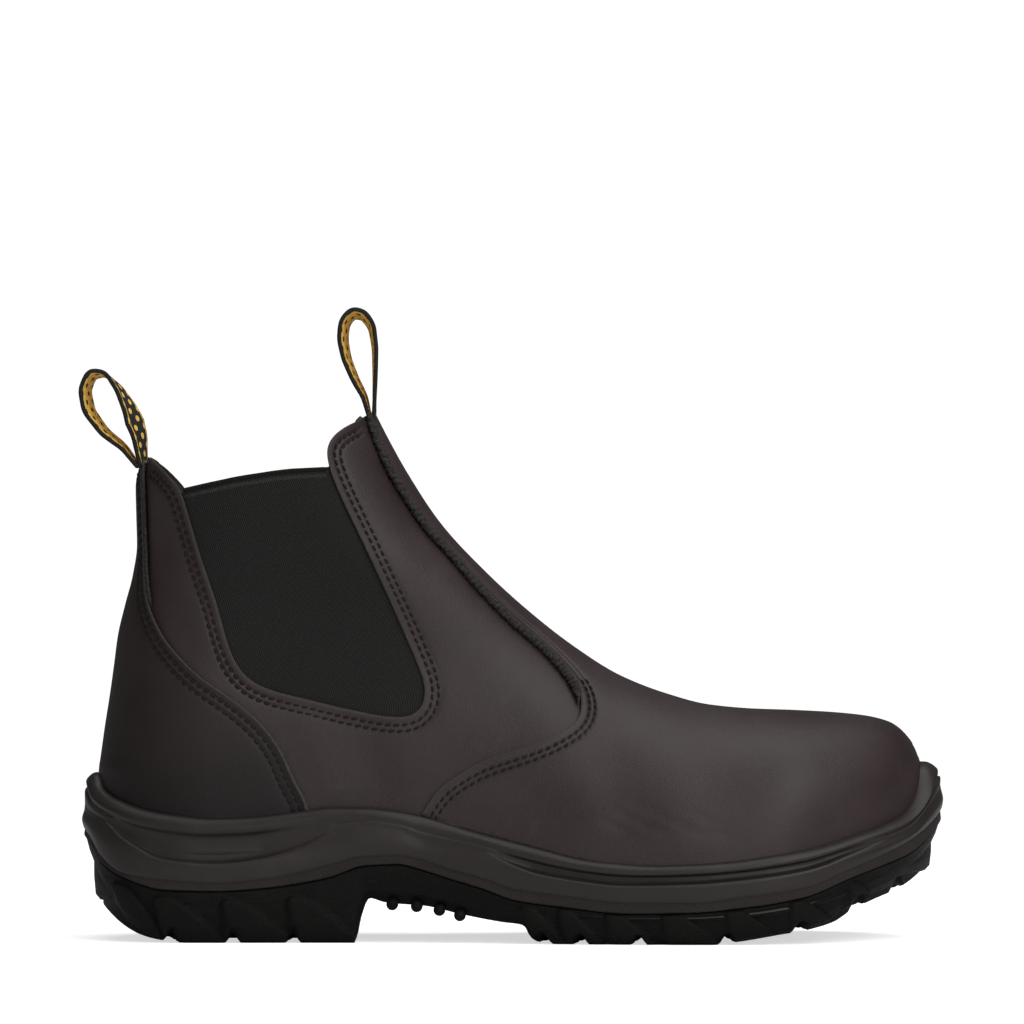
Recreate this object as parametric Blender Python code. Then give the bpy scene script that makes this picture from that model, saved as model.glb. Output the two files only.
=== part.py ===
# Side gore work boot, right foot, in metres.
# +X points to the toe, +Y to the medial side, +Z up, origin under the middle of the heel tread.
# The whole upper comes from one surface: rings run round the boot from the sole's lip to the collar.
# Its side outline is the front and back profile, and its widths come from a plan table and a shaft table.

import math

import bmesh
import bpy

for old in list(bpy.data.objects):
    bpy.data.objects.remove(old, do_unlink=True)

MM = 0.001

# Driving sizes
LENGTH = 306.0 * MM
HEEL_BACK = -61.5 * MM
COLLAR_HEIGHT = 187.2 * MM
HALF_BALL = 55.0 * MM
HALF_SHAFT = 38.5 * MM
TOE_BUMPER = 6.0 * MM
LAST_TOE = HEEL_BACK + LENGTH - TOE_BUMPER
LAST_TOE_LEVEL = 50.0 * MM

# Thicknesses and clearances
GAP = 0.3 * MM
WALL = 2.3 * MM
OVERLAY = 1.4 * MM
ELASTIC = 1.5 * MM
ELASTIC_SET_BACK = 0.5 * MM
OVERLAY_GAP = 0.45 * MM
CUP_GAP = 0.5 * MM
LIP_LEVEL = -0.03
RUBBER_RIM = 3.5 * MM
INSOLE_THICK = 4.0 * MM
BEAD_RADIUS = 1.1 * MM
BEAD_FIRST = 11
BEAD_SPARE = 0.2 * MM
KEPT_ROWS = 24
KEPT_OUT = 3.0 * MM
KEPT_IN = 3.5 * MM
WEBBING = 1.6 * MM
WEBBING_HALF_WIDTH = 9.5 * MM
WELD = 0.04 * MM

# Depths below the outermost leather surface
UPPER_OUT = -(OVERLAY + OVERLAY_GAP)
UPPER_IN = UPPER_OUT - WALL
CUP_WALL = UPPER_OUT + CUP_GAP
INSOLE_EDGE = UPPER_IN - 0.8 * MM

# Rounding: reach from the outline, and squareness of the curve
HEEL_REACH = 41.0 * MM
HEEL_SQUARE = 2.15
TOE_REACH = 72.0 * MM
TOE_SQUARE = 2.3
SHAFT_REACH = 47.0 * MM
SHAFT_SQUARE = 2.0
BLEND_LOW = 85.0 * MM
BLEND_HIGH = 140.0 * MM
RING_BOW = 9.0 * MM

# Mesh: steps round the half boot and half sole, and the rings from cup floor to lip to collar
HALF_STEPS = 22
SOLE_STEPS = 2 * HALF_STEPS
HIDDEN_LEVELS = (-1.0,)
OPEN_LEVELS = (
    0.0, 0.04, 0.08, 0.13, 0.18, 0.24, 0.30, 0.36, 0.41, 0.455,
    0.50, 0.55, 0.60, 0.66, 0.73, 0.80, 0.87, 0.94, 1.0,
)

# Front profile: along = share of length from the heel back, up = share of collar height
FRONT_PROFILE = (
    (0.9732, 0.3403),
    (0.9627, 0.3766),
    (0.9382, 0.4108),
    (0.9033, 0.4241),
    (0.8337, 0.4332),
    (0.7814, 0.4359),
    (0.7291, 0.4439),
    (0.6768, 0.4658),
    (0.6242, 0.5000),
    (0.5719, 0.5534),
    (0.5196, 0.6197),
    (0.4673, 0.6976),
    (0.4150, 0.7906),
    (0.3801, 0.8766),
    (0.3553, 0.9482),
    (0.3392, 1.0000),
)

# Back profile from the lip to the rear tab: up, along
BACK_PROFILE = (
    (0.3195, 0.0183),
    (0.3478, 0.0206),
    (0.4049, 0.0255),
    (0.4621, 0.0310),
    (0.5192, 0.0359),
    (0.5759, 0.0405),
    (0.6330, 0.0487),
    (0.6902, 0.0578),
    (0.7473, 0.0627),
    (0.8044, 0.0618),
    (0.8611, 0.0611),
    (0.9081, 0.0670),
)

# Plan of the upper: along, then centre, medial and lateral half widths as shares of the half ball width
UPPER_PLAN = (
    (0.000, 0.000, 0.640, 0.640),
    (0.152, 0.000, 0.655, 0.655),
    (0.266, 0.000, 0.645, 0.645),
    (0.381, -0.009, 0.600, 0.672),
    (0.495, 0.000, 0.664, 0.764),
    (0.609, 0.018, 0.800, 0.900),
    (0.691, 0.036, 0.873, 0.964),
    (0.740, 0.055, 0.873, 0.982),
    (0.806, 0.073, 0.855, 0.982),
    (0.887, 0.109, 0.800, 0.927),
    (0.980, 0.145, 0.691, 0.818),
)

# Plan of the sole, same columns
SOLE_PLAN = (
    (0.000, 0.000, 0.709, 0.709),
    (0.152, 0.000, 0.736, 0.736),
    (0.266, 0.000, 0.727, 0.727),
    (0.381, -0.009, 0.664, 0.745),
    (0.495, 0.000, 0.736, 0.845),
    (0.609, 0.018, 0.873, 0.973),
    (0.691, 0.036, 0.955, 1.036),
    (0.740, 0.055, 0.955, 1.055),
    (0.806, 0.073, 0.936, 1.055),
    (0.887, 0.109, 0.891, 1.009),
    (1.000, 0.155, 0.764, 0.891),
)

# Foot sections: along, height of the widest point as a share of collar height, squareness over the top
FOOT_SECTIONS = (
    (0.000, 0.240, 2.0),
    (0.300, 0.240, 1.9),
    (0.500, 0.200, 1.75),
    (0.640, 0.170, 1.80),
    (0.740, 0.170, 2.00),
    (0.850, 0.190, 2.35),
    (1.000, 0.240, 2.50),
)

# Shaft: up, half width as a share of the half shaft width
SHAFT_WIDTH = (
    (0.30, 0.935),
    (0.45, 0.915),
    (0.60, 0.930),
    (0.75, 0.970),
    (0.88, 1.000),
    (1.00, 1.000),
)

# Edge of the lip: share of the lip's own length from the heel, share of collar height
LIP_LINE = (
    (0.0000, 0.3195),
    (0.0086, 0.2906),
    (0.0352, 0.2660),
    (0.0657, 0.2510),
    (0.1023, 0.2415),
    (0.1403, 0.2356),
    (0.1865, 0.2377),
    (0.2474, 0.2489),
    (0.2851, 0.2564),
    (0.3251, 0.2564),
    (0.3583, 0.2511),
    (0.3946, 0.2393),
    (0.4507, 0.2131),
    (0.4873, 0.1976),
    (0.5373, 0.1768),
    (0.5774, 0.1613),
    (0.6177, 0.1538),
    (0.6591, 0.1501),
    (0.7088, 0.1522),
    (0.7587, 0.1576),
    (0.8001, 0.1672),
    (0.8539, 0.1810),
    (0.9110, 0.2070),
    (0.9408, 0.2217),
    (0.9699, 0.2440),
    (0.9853, 0.2740),
    (0.9925, 0.3010),
    (0.9976, 0.3285),
    (1.0000, 0.3403),
)

# Sole lines seen from the side, as shares of collar height:
# along, crease under the lip, band top, parting line, cup floor, rubber under the cup
SOLE_LINES = (
    (0.000, 0.245, 0.212, 0.196, 0.165, 0.085),
    (0.008, 0.238, 0.200, 0.182, 0.165, 0.084),
    (0.023, 0.228, 0.164, 0.148, 0.162, 0.080),
    (0.049, 0.200, 0.133, 0.122, 0.160, 0.072),
    (0.101, 0.163, 0.120, 0.099, 0.160, 0.066),
    (0.158, 0.156, 0.114, 0.097, 0.160, 0.064),
    (0.216, 0.166, 0.122, 0.103, 0.160, 0.064),
    (0.255, 0.181, 0.134, 0.112, 0.162, 0.070),
    (0.290, 0.205, 0.149, 0.124, 0.164, 0.092),
    (0.329, 0.218, 0.165, 0.145, 0.165, 0.110),
    (0.368, 0.210, 0.167, 0.148, 0.162, 0.110),
    (0.396, 0.192, 0.158, 0.137, 0.155, 0.102),
    (0.425, 0.183, 0.142, 0.122, 0.146, 0.093),
    (0.464, 0.172, 0.125, 0.103, 0.132, 0.078),
    (0.503, 0.150, 0.104, 0.081, 0.118, 0.062),
    (0.555, 0.131, 0.093, 0.070, 0.108, 0.050),
    (0.632, 0.118, 0.080, 0.058, 0.099, 0.044),
    (0.705, 0.121, 0.080, 0.060, 0.098, 0.043),
    (0.763, 0.129, 0.091, 0.069, 0.102, 0.047),
    (0.834, 0.146, 0.108, 0.088, 0.118, 0.062),
    (0.888, 0.172, 0.142, 0.122, 0.138, 0.085),
    (0.925, 0.190, 0.166, 0.144, 0.156, 0.108),
    (0.960, 0.212, 0.192, 0.166, 0.168, 0.125),
    (0.982, 0.250, 0.218, 0.192, 0.174, 0.132),
    (1.000, 0.285, 0.246, 0.222, 0.178, 0.138),
)
CREASE = 1
BAND = 2
PARTING = 3
CUP_FLOOR = 4
RUBBER_TOP = 5

# Underside before the waist is cut: along, height as a share of collar height
TREAD_LINE = (
    (0.000, 0.130),
    (0.020, 0.090),
    (0.033, 0.061),
    (0.057, 0.033),
    (0.078, 0.013),
    (0.098, 0.000),
    (0.740, 0.000),
    (0.795, 0.006),
    (0.840, 0.016),
    (0.868, 0.032),
    (0.890, 0.058),
    (0.915, 0.074),
    (0.945, 0.095),
    (0.970, 0.122),
    (1.000, 0.170),
)

# Waist cut under the arch: along, height as a share of collar height
WAIST_CUT = (
    (0.318, 0.000),
    (0.322, 0.035),
    (0.334, 0.084),
    (0.352, 0.076),
    (0.400, 0.069),
    (0.440, 0.054),
    (0.486, 0.040),
    (0.512, 0.034),
    (0.520, 0.012),
    (0.532, 0.000),
)
WAIST_RIBS = (0.361, 0.395, 0.427, 0.459)
WAIST_RIB_HALF = 2.2 * MM
WAIST_RIB_DROP = 2.4 * MM

# Grooves between the tread lugs: along, half width in mm, depth in mm, slant in degrees
TREAD_GROOVES = (
    (0.092, 1.8, 4.0, -8.0),
    (0.173, 1.8, 4.0, -3.0),
    (0.252, 1.8, 4.0, 4.0),
    (0.570, 2.0, 4.0, 10.0),
    (0.618, 2.0, 4.0, 8.0),
    (0.672, 2.0, 4.0, 5.0),
    (0.725, 2.0, 4.0, -4.0),
    (0.778, 2.0, 4.0, -7.0),
    (0.832, 2.0, 4.2, -10.0),
    (0.880, 2.2, 4.5, -12.0),
)

# Side lugs of the rubber: slanted channels, one every few steps round the sole
SIDE_LUG_STEPS = 3
SIDE_LUG_DEPTH = 1.4 * MM

# Seam lines seen from the side: up, along
VAMP_SEAM = (
    (0.150, 0.370),
    (0.257, 0.400),
    (0.291, 0.416),
    (0.321, 0.441),
    (0.348, 0.472),
    (0.378, 0.530),
    (0.403, 0.561),
    (0.420, 0.575),
    (0.447, 0.579),
    (0.471, 0.578),
    (0.502, 0.567),
    (0.536, 0.549),
    (0.572, 0.527),
    (0.606, 0.501),
    (0.643, 0.479),
    (0.686, 0.454),
    (0.736, 0.429),
    (0.781, 0.403),
    (0.835, 0.381),
    (0.888, 0.3605),
    (0.934, 0.348),
    (0.987, 0.336),
    (1.010, 0.333),
)
COUNTER_SEAM = (
    (0.150, 0.275),
    (0.259, 0.263),
    (0.310, 0.248),
    (0.363, 0.233),
    (0.413, 0.210),
    (0.451, 0.183),
    (0.481, 0.157),
    (0.502, 0.138),
    (0.529, 0.121),
    (0.567, 0.100),
    (0.603, 0.087),
    (0.633, 0.079),
    (0.670, 0.0745),
    (0.719, 0.0725),
    (0.825, 0.0700),
    (0.884, 0.0690),
    (0.912, 0.0680),
    (0.940, 0.0670),
)

# Gore window seen from the side, clockwise from the rear top: along, up
GORE_OUTLINE = (
    (0.1143, 0.8506),
    (0.1143, 0.8246),
    (0.1248, 0.7753),
    (0.1376, 0.7260),
    (0.1492, 0.6804),
    (0.1597, 0.6367),
    (0.1690, 0.5835),
    (0.1760, 0.5455),
    (0.1870, 0.5110),
    (0.2050, 0.4840),
    (0.2294, 0.4714),
    (0.2643, 0.4581),
    (0.3027, 0.4429),
    (0.3400, 0.4310),
    (0.3690, 0.4250),
    (0.3850, 0.4295),
    (0.3975, 0.4500),
    (0.3990, 0.4850),
    (0.3874, 0.5474),
    (0.3643, 0.6272),
    (0.3492, 0.6842),
    (0.3318, 0.7507),
    (0.3108, 0.8230),
    (0.2980, 0.8781),
    (0.2922, 0.8940),
)
# Collar tabs above the window, from the front tab round to the rear tab: along, up
TAB_CUT = (
    (0.2900, 0.9120),
    (0.2895, 0.9310),
    (0.2954, 0.9510),
    (0.3060, 0.9685),
    (0.3200, 0.9820),
    (0.3300, 0.9960),
    (0.3330, 1.0300),
    (0.0600, 1.0300),
    (0.0690, 0.9140),
    (0.0900, 0.8960),
    (0.1020, 0.8740),
)
GORE_TOP_REAR = 1
GORE_TOP = ((0.2870, 0.8950), (0.2450, 0.8870), (0.1780, 0.8690), (0.1170, 0.8490))

# Webbing loops seen from the side, round the strap's middle, in mm: x, z
FRONT_LOOP = (
    (40.4, 187.3),
    (38.6, 192.6),
    (35.2, 198.8),
    (32.2, 206.0),
    (30.8, 213.0),
    (31.4, 219.0),
    (34.4, 222.6),
    (38.4, 221.8),
    (41.3, 217.6),
    (42.4, 210.0),
    (42.4, 200.0),
    (42.2, 187.3),
)
REAR_LOOP = (
    (-41.6, 170.4),
    (-47.0, 174.6),
    (-54.0, 180.0),
    (-59.6, 187.6),
    (-61.0, 195.0),
    (-58.6, 200.8),
    (-53.6, 201.0),
    (-48.6, 195.2),
    (-44.6, 187.6),
    (-41.6, 179.0),
    (-39.6, 170.4),
)
LOOP_FOOT_GAP = 0.5 * MM


def along_to_x(share):
    return HEEL_BACK + share * LENGTH


def x_to_along(x):
    return (x - HEEL_BACK) / LENGTH


def clamp(value, low, high):
    return max(low, min(high, value))


def smooth_step(low, high, value):
    q = clamp((value - low) / (high - low), 0.0, 1.0)
    return q * q * (3.0 - 2.0 * q)


def mix(a, b, share):
    return a + (b - a) * share


def slopes_of(rows, column):
    # Monotone slopes, so a table never overshoots between its rows
    count = len(rows)
    steps = [rows[i + 1][0] - rows[i][0] for i in range(count - 1)]
    rises = [(rows[i + 1][column] - rows[i][column]) / steps[i] for i in range(count - 1)]
    slopes = [rises[0]]
    for i in range(1, count - 1):
        if rises[i - 1] * rises[i] <= 0.0:
            slopes.append(0.0)
        else:
            before = 2.0 * steps[i] + steps[i - 1]
            after = steps[i] + 2.0 * steps[i - 1]
            slopes.append((before + after) / (before / rises[i - 1] + after / rises[i]))
    slopes.append(rises[-1])
    return slopes


SLOPES = {}


def look_up(rows, column, at):
    # Smooth value of one column of a table at a value of its first column
    key = (id(rows), column)
    if key not in SLOPES:
        SLOPES[key] = slopes_of(rows, column)
    slopes = SLOPES[key]
    at = clamp(at, rows[0][0], rows[-1][0])
    i = 0
    while i < len(rows) - 2 and at > rows[i + 1][0]:
        i += 1
    width = rows[i + 1][0] - rows[i][0]
    q = (at - rows[i][0]) / width
    h00 = 2 * q ** 3 - 3 * q ** 2 + 1
    h10 = q ** 3 - 2 * q ** 2 + q
    h01 = -2 * q ** 3 + 3 * q ** 2
    h11 = q ** 3 - q ** 2
    return (h00 * rows[i][column] + h10 * width * slopes[i]
            + h01 * rows[i + 1][column] + h11 * width * slopes[i + 1])


def rounded(distance, reach, square):
    # Rises from 0 at the outline to 1 at the reach, like a quarter of a superellipse
    q = clamp(distance / reach, 0.0, 1.0)
    return (1.0 - (1.0 - q) ** square) ** (1.0 / square)


# Profiles as functions of height and of length
TOE_ROWS = ((x_to_along(LAST_TOE), LAST_TOE_LEVEL / COLLAR_HEIGHT), (0.9772, 0.3050))
FRONT_BY_HEIGHT = tuple((up, along) for along, up in TOE_ROWS + FRONT_PROFILE)
TOP_BY_LENGTH = tuple(sorted((along, up) for along, up in TOE_ROWS + FRONT_PROFILE))
BACK_BY_HEIGHT = ((0.15, 0.0270), (0.25, 0.0180)) + BACK_PROFILE


def front_x(z):
    up = z / COLLAR_HEIGHT
    over = max(0.0, up - 1.0)
    return along_to_x(look_up(FRONT_BY_HEIGHT, 1, up) - 0.32 * over)


def back_x(z):
    return along_to_x(look_up(BACK_BY_HEIGHT, 1, z / COLLAR_HEIGHT))


def top_z(x):
    along = x_to_along(x)
    if along < TOP_BY_LENGTH[0][0]:
        return COLLAR_HEIGHT * (1.0 + 3.1 * (TOP_BY_LENGTH[0][0] - along))
    return COLLAR_HEIGHT * look_up(TOP_BY_LENGTH, 1, along)


def half_width(x, z, column):
    # Width of the boot on one side of its ridge, at a point of the side view
    along = x_to_along(x)
    foot = HALF_BALL * look_up(UPPER_PLAN, column, along)
    foot *= rounded(LAST_TOE - x, TOE_REACH, TOE_SQUARE)
    top = top_z(x)
    widest = COLLAR_HEIGHT * look_up(FOOT_SECTIONS, 1, along)
    foot *= rounded(top - z, max(top - widest, MM), look_up(FOOT_SECTIONS, 2, along))
    shaft = HALF_SHAFT * look_up(SHAFT_WIDTH, 1, z / COLLAR_HEIGHT)
    shaft *= rounded(front_x(z) - x, SHAFT_REACH, SHAFT_SQUARE)
    blend = smooth_step(BLEND_LOW, BLEND_HIGH, z)
    return mix(foot, shaft, blend) * rounded(x - back_x(z), HEEL_REACH, HEEL_SQUARE)


def ridge_y(x, z):
    low = HALF_BALL * look_up(UPPER_PLAN, 1, x_to_along(x))
    return low * (1.0 - smooth_step(BLEND_LOW, BLEND_HIGH, z))


def arc_lengths(points):
    lengths = [0.0]
    for a, b in zip(points, points[1:]):
        lengths.append(lengths[-1] + math.hypot(b[0] - a[0], b[1] - a[1]))
    return [value / lengths[-1] for value in lengths]


def arc_rows(points):
    return tuple((s, p[0], p[1]) for s, p in zip(arc_lengths(points), points))


FRONT_CURVE = arc_rows([(along_to_x(a), u * COLLAR_HEIGHT) for a, u in FRONT_PROFILE])
BACK_CURVE = arc_rows([(along_to_x(a), u * COLLAR_HEIGHT) for u, a in BACK_PROFILE])


def sole_line(column, x):
    return COLLAR_HEIGHT * look_up(SOLE_LINES, column, x_to_along(x))


def lip_z(share):
    # Height of the lip's edge; share runs 0 at the toe, 1 at the heel
    return COLLAR_HEIGHT * look_up(LIP_LINE, 1, 1.0 - share)


def side_point(t, angle):
    # Side view of the surface: t is 0 at the lip, 1 at the collar, -1 at the cup floor
    share = (1.0 - math.cos(angle)) / 2.0
    up = max(t, 0.0)
    front_x0 = look_up(FRONT_CURVE, 1, up ** 1.5)
    front_z0 = look_up(FRONT_CURVE, 2, up ** 1.5)
    back_x0 = look_up(BACK_CURVE, 1, up ** 2.1)
    back_z0 = look_up(BACK_CURVE, 2, up ** 2.1)
    x = mix(front_x0, back_x0, share)
    z = mix(front_z0, back_z0, share)
    chord = mix(FRONT_CURVE[0][2], BACK_CURVE[0][2], share)
    z += (lip_z(share) - chord) * (1.0 - up) ** 1.5
    z -= RING_BOW * 4.0 * share * (1.0 - share) * math.sin(math.pi * up) ** 2
    if t < 0.0:
        floor = sole_line(CUP_FLOOR, x)
        z = mix(z, floor, -t)
        ahead = front_x(z) - look_up(FRONT_CURVE, 1, 0.0)
        behind = back_x(z) - look_up(BACK_CURVE, 1, 0.0)
        x += mix(ahead, behind, share)
    return x, z


def surface(t, angle):
    # Outermost leather surface; angle runs 0 at the front, lateral side first, pi at the back
    x, z = side_point(t, angle)
    side = math.sin(angle)
    if side >= 0.0:
        return (x, ridge_y(x, z) - half_width(x, z, 3), z)
    return (x, ridge_y(x, z) + half_width(x, z, 2), z)


def minus(a, b):
    return (a[0] - b[0], a[1] - b[1], a[2] - b[2])


def plus(a, b, scale=1.0):
    return (a[0] + b[0] * scale, a[1] + b[1] * scale, a[2] + b[2] * scale)


def cross(a, b):
    return (a[1] * b[2] - a[2] * b[1], a[2] * b[0] - a[0] * b[2], a[0] * b[1] - a[1] * b[0])


def unit(a):
    size = math.sqrt(a[0] ** 2 + a[1] ** 2 + a[2] ** 2)
    return (a[0] / size, a[1] / size, a[2] / size)


def skin_normal(t, angle):
    step_t = 0.012
    step_a = 0.045
    high = min(t + step_t, 1.0)
    low = max(t - step_t, -1.0)
    upward = minus(surface(high, angle), surface(low, angle))
    around = minus(surface(t, angle + step_a), surface(t, angle - step_a))
    return unit(cross(upward, around))


def skin_point(t, angle, depth):
    # A point of the surface moved along its outward normal
    return plus(surface(t, angle), skin_normal(t, angle), depth)


def material(name, colour, roughness):
    made = bpy.data.materials.new(name)
    made.use_nodes = True
    shader = made.node_tree.nodes["Principled BSDF"]
    shader.inputs["Base Color"].default_value = (colour[0], colour[1], colour[2], 1.0)
    shader.inputs["Roughness"].default_value = roughness
    return made


LEATHER_MAT = material("leather", (0.060, 0.048, 0.048), 0.55)
VAMP_MAT = material("vamp_leather", (0.064, 0.050, 0.050), 0.52)
COUNTER_MAT = material("counter_leather", (0.040, 0.034, 0.033), 0.55)
ELASTIC_MAT = material("elastic", (0.019, 0.018, 0.018), 0.85)
BEAD_MAT = material("rolled_seam", (0.020, 0.018, 0.018), 0.75)
MIDSOLE_MAT = material("midsole_foam", (0.028, 0.026, 0.025), 0.60)
RUBBER_MAT = material("outsole_rubber", (0.018, 0.017, 0.016), 0.70)
INSOLE_MAT = material("footbed_foam", (0.050, 0.050, 0.052), 0.85)
FRONT_WEB_MAT = material("webbing_front", (0.55, 0.36, 0.05), 0.80)
REAR_WEB_MAT = material("webbing_rear", (0.52, 0.34, 0.05), 0.80)


def solid(name, points, faces, surface_material, visible=True):
    mesh = bpy.data.meshes.new(name)
    mesh.from_pydata([tuple(p) for p in points], [], faces)
    work = bmesh.new()
    work.from_mesh(mesh)
    bmesh.ops.remove_doubles(work, verts=work.verts, dist=0.00001)
    bmesh.ops.recalc_face_normals(work, faces=work.faces)
    if work.calc_volume(signed=True) < 0.0:
        bmesh.ops.reverse_faces(work, faces=work.faces)
    work.to_mesh(mesh)
    work.free()
    made = bpy.data.objects.new(name, mesh)
    bpy.context.scene.collection.objects.link(made)
    if surface_material is not None:
        mesh.materials.append(surface_material)
    if not visible:
        made.hide_render = True
        made.display_type = "WIRE"
    return made


def ring_faces(rows, count, closed):
    # Triangles between rings of equal count; closed joins the last ring to the first.
    # A closed set climbs for its first half and comes down for its second, so the split of each
    # square is turned there and the facets on both sides of a wall lie parallel.
    faces = []
    last = rows if closed else rows - 1
    for r in range(last):
        s = (r + 1) % rows
        coming_down = closed and r >= rows // 2
        for i in range(count):
            j = (i + 1) % count
            a = r * count + i
            b = r * count + j
            c = s * count + j
            d = s * count + i
            if coming_down:
                faces += [(a, b, d), (b, c, d)]
            else:
                faces += [(a, b, c), (a, c, d)]
    return faces


def ladder_faces(start, count):
    # Closes a ring by rungs from its lateral to its medial half
    half = count // 2
    faces = [(start, start + 1, start + count - 1)]
    for i in range(1, half - 1):
        faces.append((start + i, start + i + 1, start + count - i - 1, start + count - i))
    faces.append((start + half - 1, start + half, start + half + 1))
    return faces


def sheet_faces(rows, columns):
    # Faces of a closed sheet made of an outer and an inner grid of points
    layer = rows * columns
    faces = []
    for r in range(rows - 1):
        for c in range(columns - 1):
            a = r * columns + c
            faces.append((a, a + 1, a + columns + 1, a + columns))
            faces.append((layer + a, layer + a + columns, layer + a + columns + 1, layer + a + 1))
    for c in range(columns - 1):
        low = c
        high = (rows - 1) * columns + c
        faces.append((low, layer + low, layer + low + 1, low + 1))
        faces.append((high, high + 1, layer + high + 1, layer + high))
    for r in range(rows - 1):
        left = r * columns
        right = left + columns - 1
        faces.append((left, left + columns, layer + left + columns, layer + left))
        faces.append((right, layer + right, layer + right + columns, right + columns))
    return faces


def boolean(target, tool, operation):
    change = target.modifiers.new("cut", "BOOLEAN")
    change.operation = operation
    change.solver = "EXACT"
    change.object = tool
    bpy.context.view_layer.objects.active = target
    graph = bpy.context.evaluated_depsgraph_get()
    result = bpy.data.meshes.new_from_object(target.evaluated_get(graph))
    target.modifiers.remove(change)
    target.data = result
    bpy.data.objects.remove(tool, do_unlink=True)


def weld(target):
    # Joins points that the cuts left closer together than any real feature, and drops slivers
    work = bmesh.new()
    work.from_mesh(target.data)
    bmesh.ops.remove_doubles(work, verts=work.verts, dist=WELD)
    bmesh.ops.triangulate(work, faces=work.faces, quad_method="BEAUTY", ngon_method="BEAUTY")
    bmesh.ops.dissolve_degenerate(work, edges=work.edges, dist=WELD / 2.0)
    work.to_mesh(target.data)
    work.free()


def prism(name, outline, low_y, high_y, turn=0.0):
    # Side view outline in metres, run across the boot and slanted by an angle seen from above
    count = len(outline)
    points = []
    for y in (low_y, high_y):
        for x, z in outline:
            points.append((x + y * math.tan(turn), y, z))
    faces = [tuple(range(count)), tuple(range(2 * count - 1, count - 1, -1))]
    for i in range(count):
        j = (i + 1) % count
        faces.append((i, i + count, j + count, j))
    return solid(name, points, faces, None, visible=False)


def grow(outline, amount):
    # Moves a closed side view outline outwards by an amount
    area = sum(a[0] * b[1] - b[0] * a[1] for a, b in zip(outline, outline[1:] + outline[:1]))
    sign = 1.0 if area > 0.0 else -1.0
    moved = []
    for i in range(len(outline)):
        before = outline[i - 1]
        after = outline[(i + 1) % len(outline)]
        dx = after[0] - before[0]
        dz = after[1] - before[1]
        size = math.hypot(dx, dz)
        moved.append((outline[i][0] + sign * amount * dz / size, outline[i][1] - sign * amount * dx / size))
    return moved


def in_metres(rows):
    return [(along_to_x(a), u * COLLAR_HEIGHT) for a, u in rows]


ANGLES = [math.pi * i / HALF_STEPS for i in range(2 * HALF_STEPS)]
LEVELS = HIDDEN_LEVELS + OPEN_LEVELS


def skin_ring(t, depth, drop=0.0):
    # One ring of the upper's surface; the lowest one stands on the cup floor
    ring = [skin_point(t, angle, depth) for angle in ANGLES]
    if t <= -1.0:
        ring = [(x, y, sole_line(CUP_FLOOR, x) - drop) for x, y, z in ring]
    return ring


# Upper: one hollow wall, open at the collar and at the cup floor
upper_points = []
for level in LEVELS:
    upper_points += skin_ring(level, UPPER_OUT)
for level in reversed(LEVELS):
    upper_points += skin_ring(level, UPPER_IN)
upper = solid("upper", upper_points, ring_faces(2 * len(LEVELS), len(ANGLES), True), LEATHER_MAT)

window = in_metres(GORE_OUTLINE + TAB_CUT)
SIDES = (("lateral", -0.090, -0.004), ("medial", 0.004, 0.090))
boolean(upper, prism("window_cut", window, -0.090, 0.090), "DIFFERENCE")


def gore(name, low_y, high_y, first_angle, last_angle):
    # Elastic panel, cut from a sheet of the same surface with a gap all round
    columns = 13
    levels = [0.40 + 0.60 * i / 10 for i in range(11)]
    points = []
    for depth in (UPPER_OUT - ELASTIC_SET_BACK, UPPER_OUT - ELASTIC_SET_BACK - ELASTIC):
        for level in levels:
            for c in range(columns):
                points.append(skin_point(level, mix(first_angle, last_angle, c / (columns - 1)), depth))
    made = solid(name, points, sheet_faces(len(levels), columns), ELASTIC_MAT)
    outline = in_metres(GORE_OUTLINE[GORE_TOP_REAR:-1] + GORE_TOP)
    boolean(made, prism(name + "_cut", grow(outline, -GAP), low_y, high_y), "INTERSECT")
    return made


gore("gore_lateral", -0.090, -0.004, 0.18 * math.pi, 0.88 * math.pi)
gore("gore_medial", 0.004, 0.090, -0.18 * math.pi, -0.88 * math.pi)


def seam_angle(seam, t, from_front):
    # Angle at which a ring crosses a seam line of the side view
    count = 90
    order = range(count + 1) if from_front else range(count, -1, -1)
    previous = None
    for i in order:
        angle = math.pi * i / count
        x, z = side_point(t, angle)
        over = x - along_to_x(look_up(seam, 1, z / COLLAR_HEIGHT))
        if previous is not None and previous[1] * over <= 0.0:
            share = previous[1] / (previous[1] - over) if over != previous[1] else 0.0
            return mix(previous[0], angle, share)
        previous = (angle, over)
    return previous[0]


def overlay(name, seam, from_front, surface_material):
    # Leather laid over the upper: a shell on the upper's own rings, kept from seam to seam
    points = []
    for depth in (0.0, -OVERLAY):
        levels = OPEN_LEVELS if depth == 0.0 else tuple(reversed(OPEN_LEVELS))
        for level in levels:
            points += skin_ring(level, depth)
    made = solid(name, points, ring_faces(2 * len(OPEN_LEVELS), len(ANGLES), True), surface_material)
    kept_levels = (-0.2,) + tuple(i / KEPT_ROWS for i in range(KEPT_ROWS + 1))
    columns = 25
    kept = []
    # The last row repeats the collar's, raised, so that nothing of the collar is cut away
    raised_levels = tuple((level, 0.0) for level in kept_levels) + ((1.0, KEPT_OUT),)
    for depth in (KEPT_OUT, -KEPT_IN):
        for level, raise_by in raised_levels:
            reach = overlay_reach(seam, level, from_front)
            for c in range(columns):
                angle = reach * (2.0 * c / (columns - 1) - 1.0)
                if not from_front:
                    angle = math.pi - angle
                x, y, z = skin_point(level, angle, depth)
                kept.append((x, y, z + raise_by))
    region = solid(name + "_region", kept, sheet_faces(len(kept_levels) + 1, columns), None, visible=False)
    boolean(made, region, "INTERSECT")
    return made


def overlay_reach(seam, level, from_front):
    angle = seam_angle(seam, level, from_front)
    return angle if from_front else math.pi - angle


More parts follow.
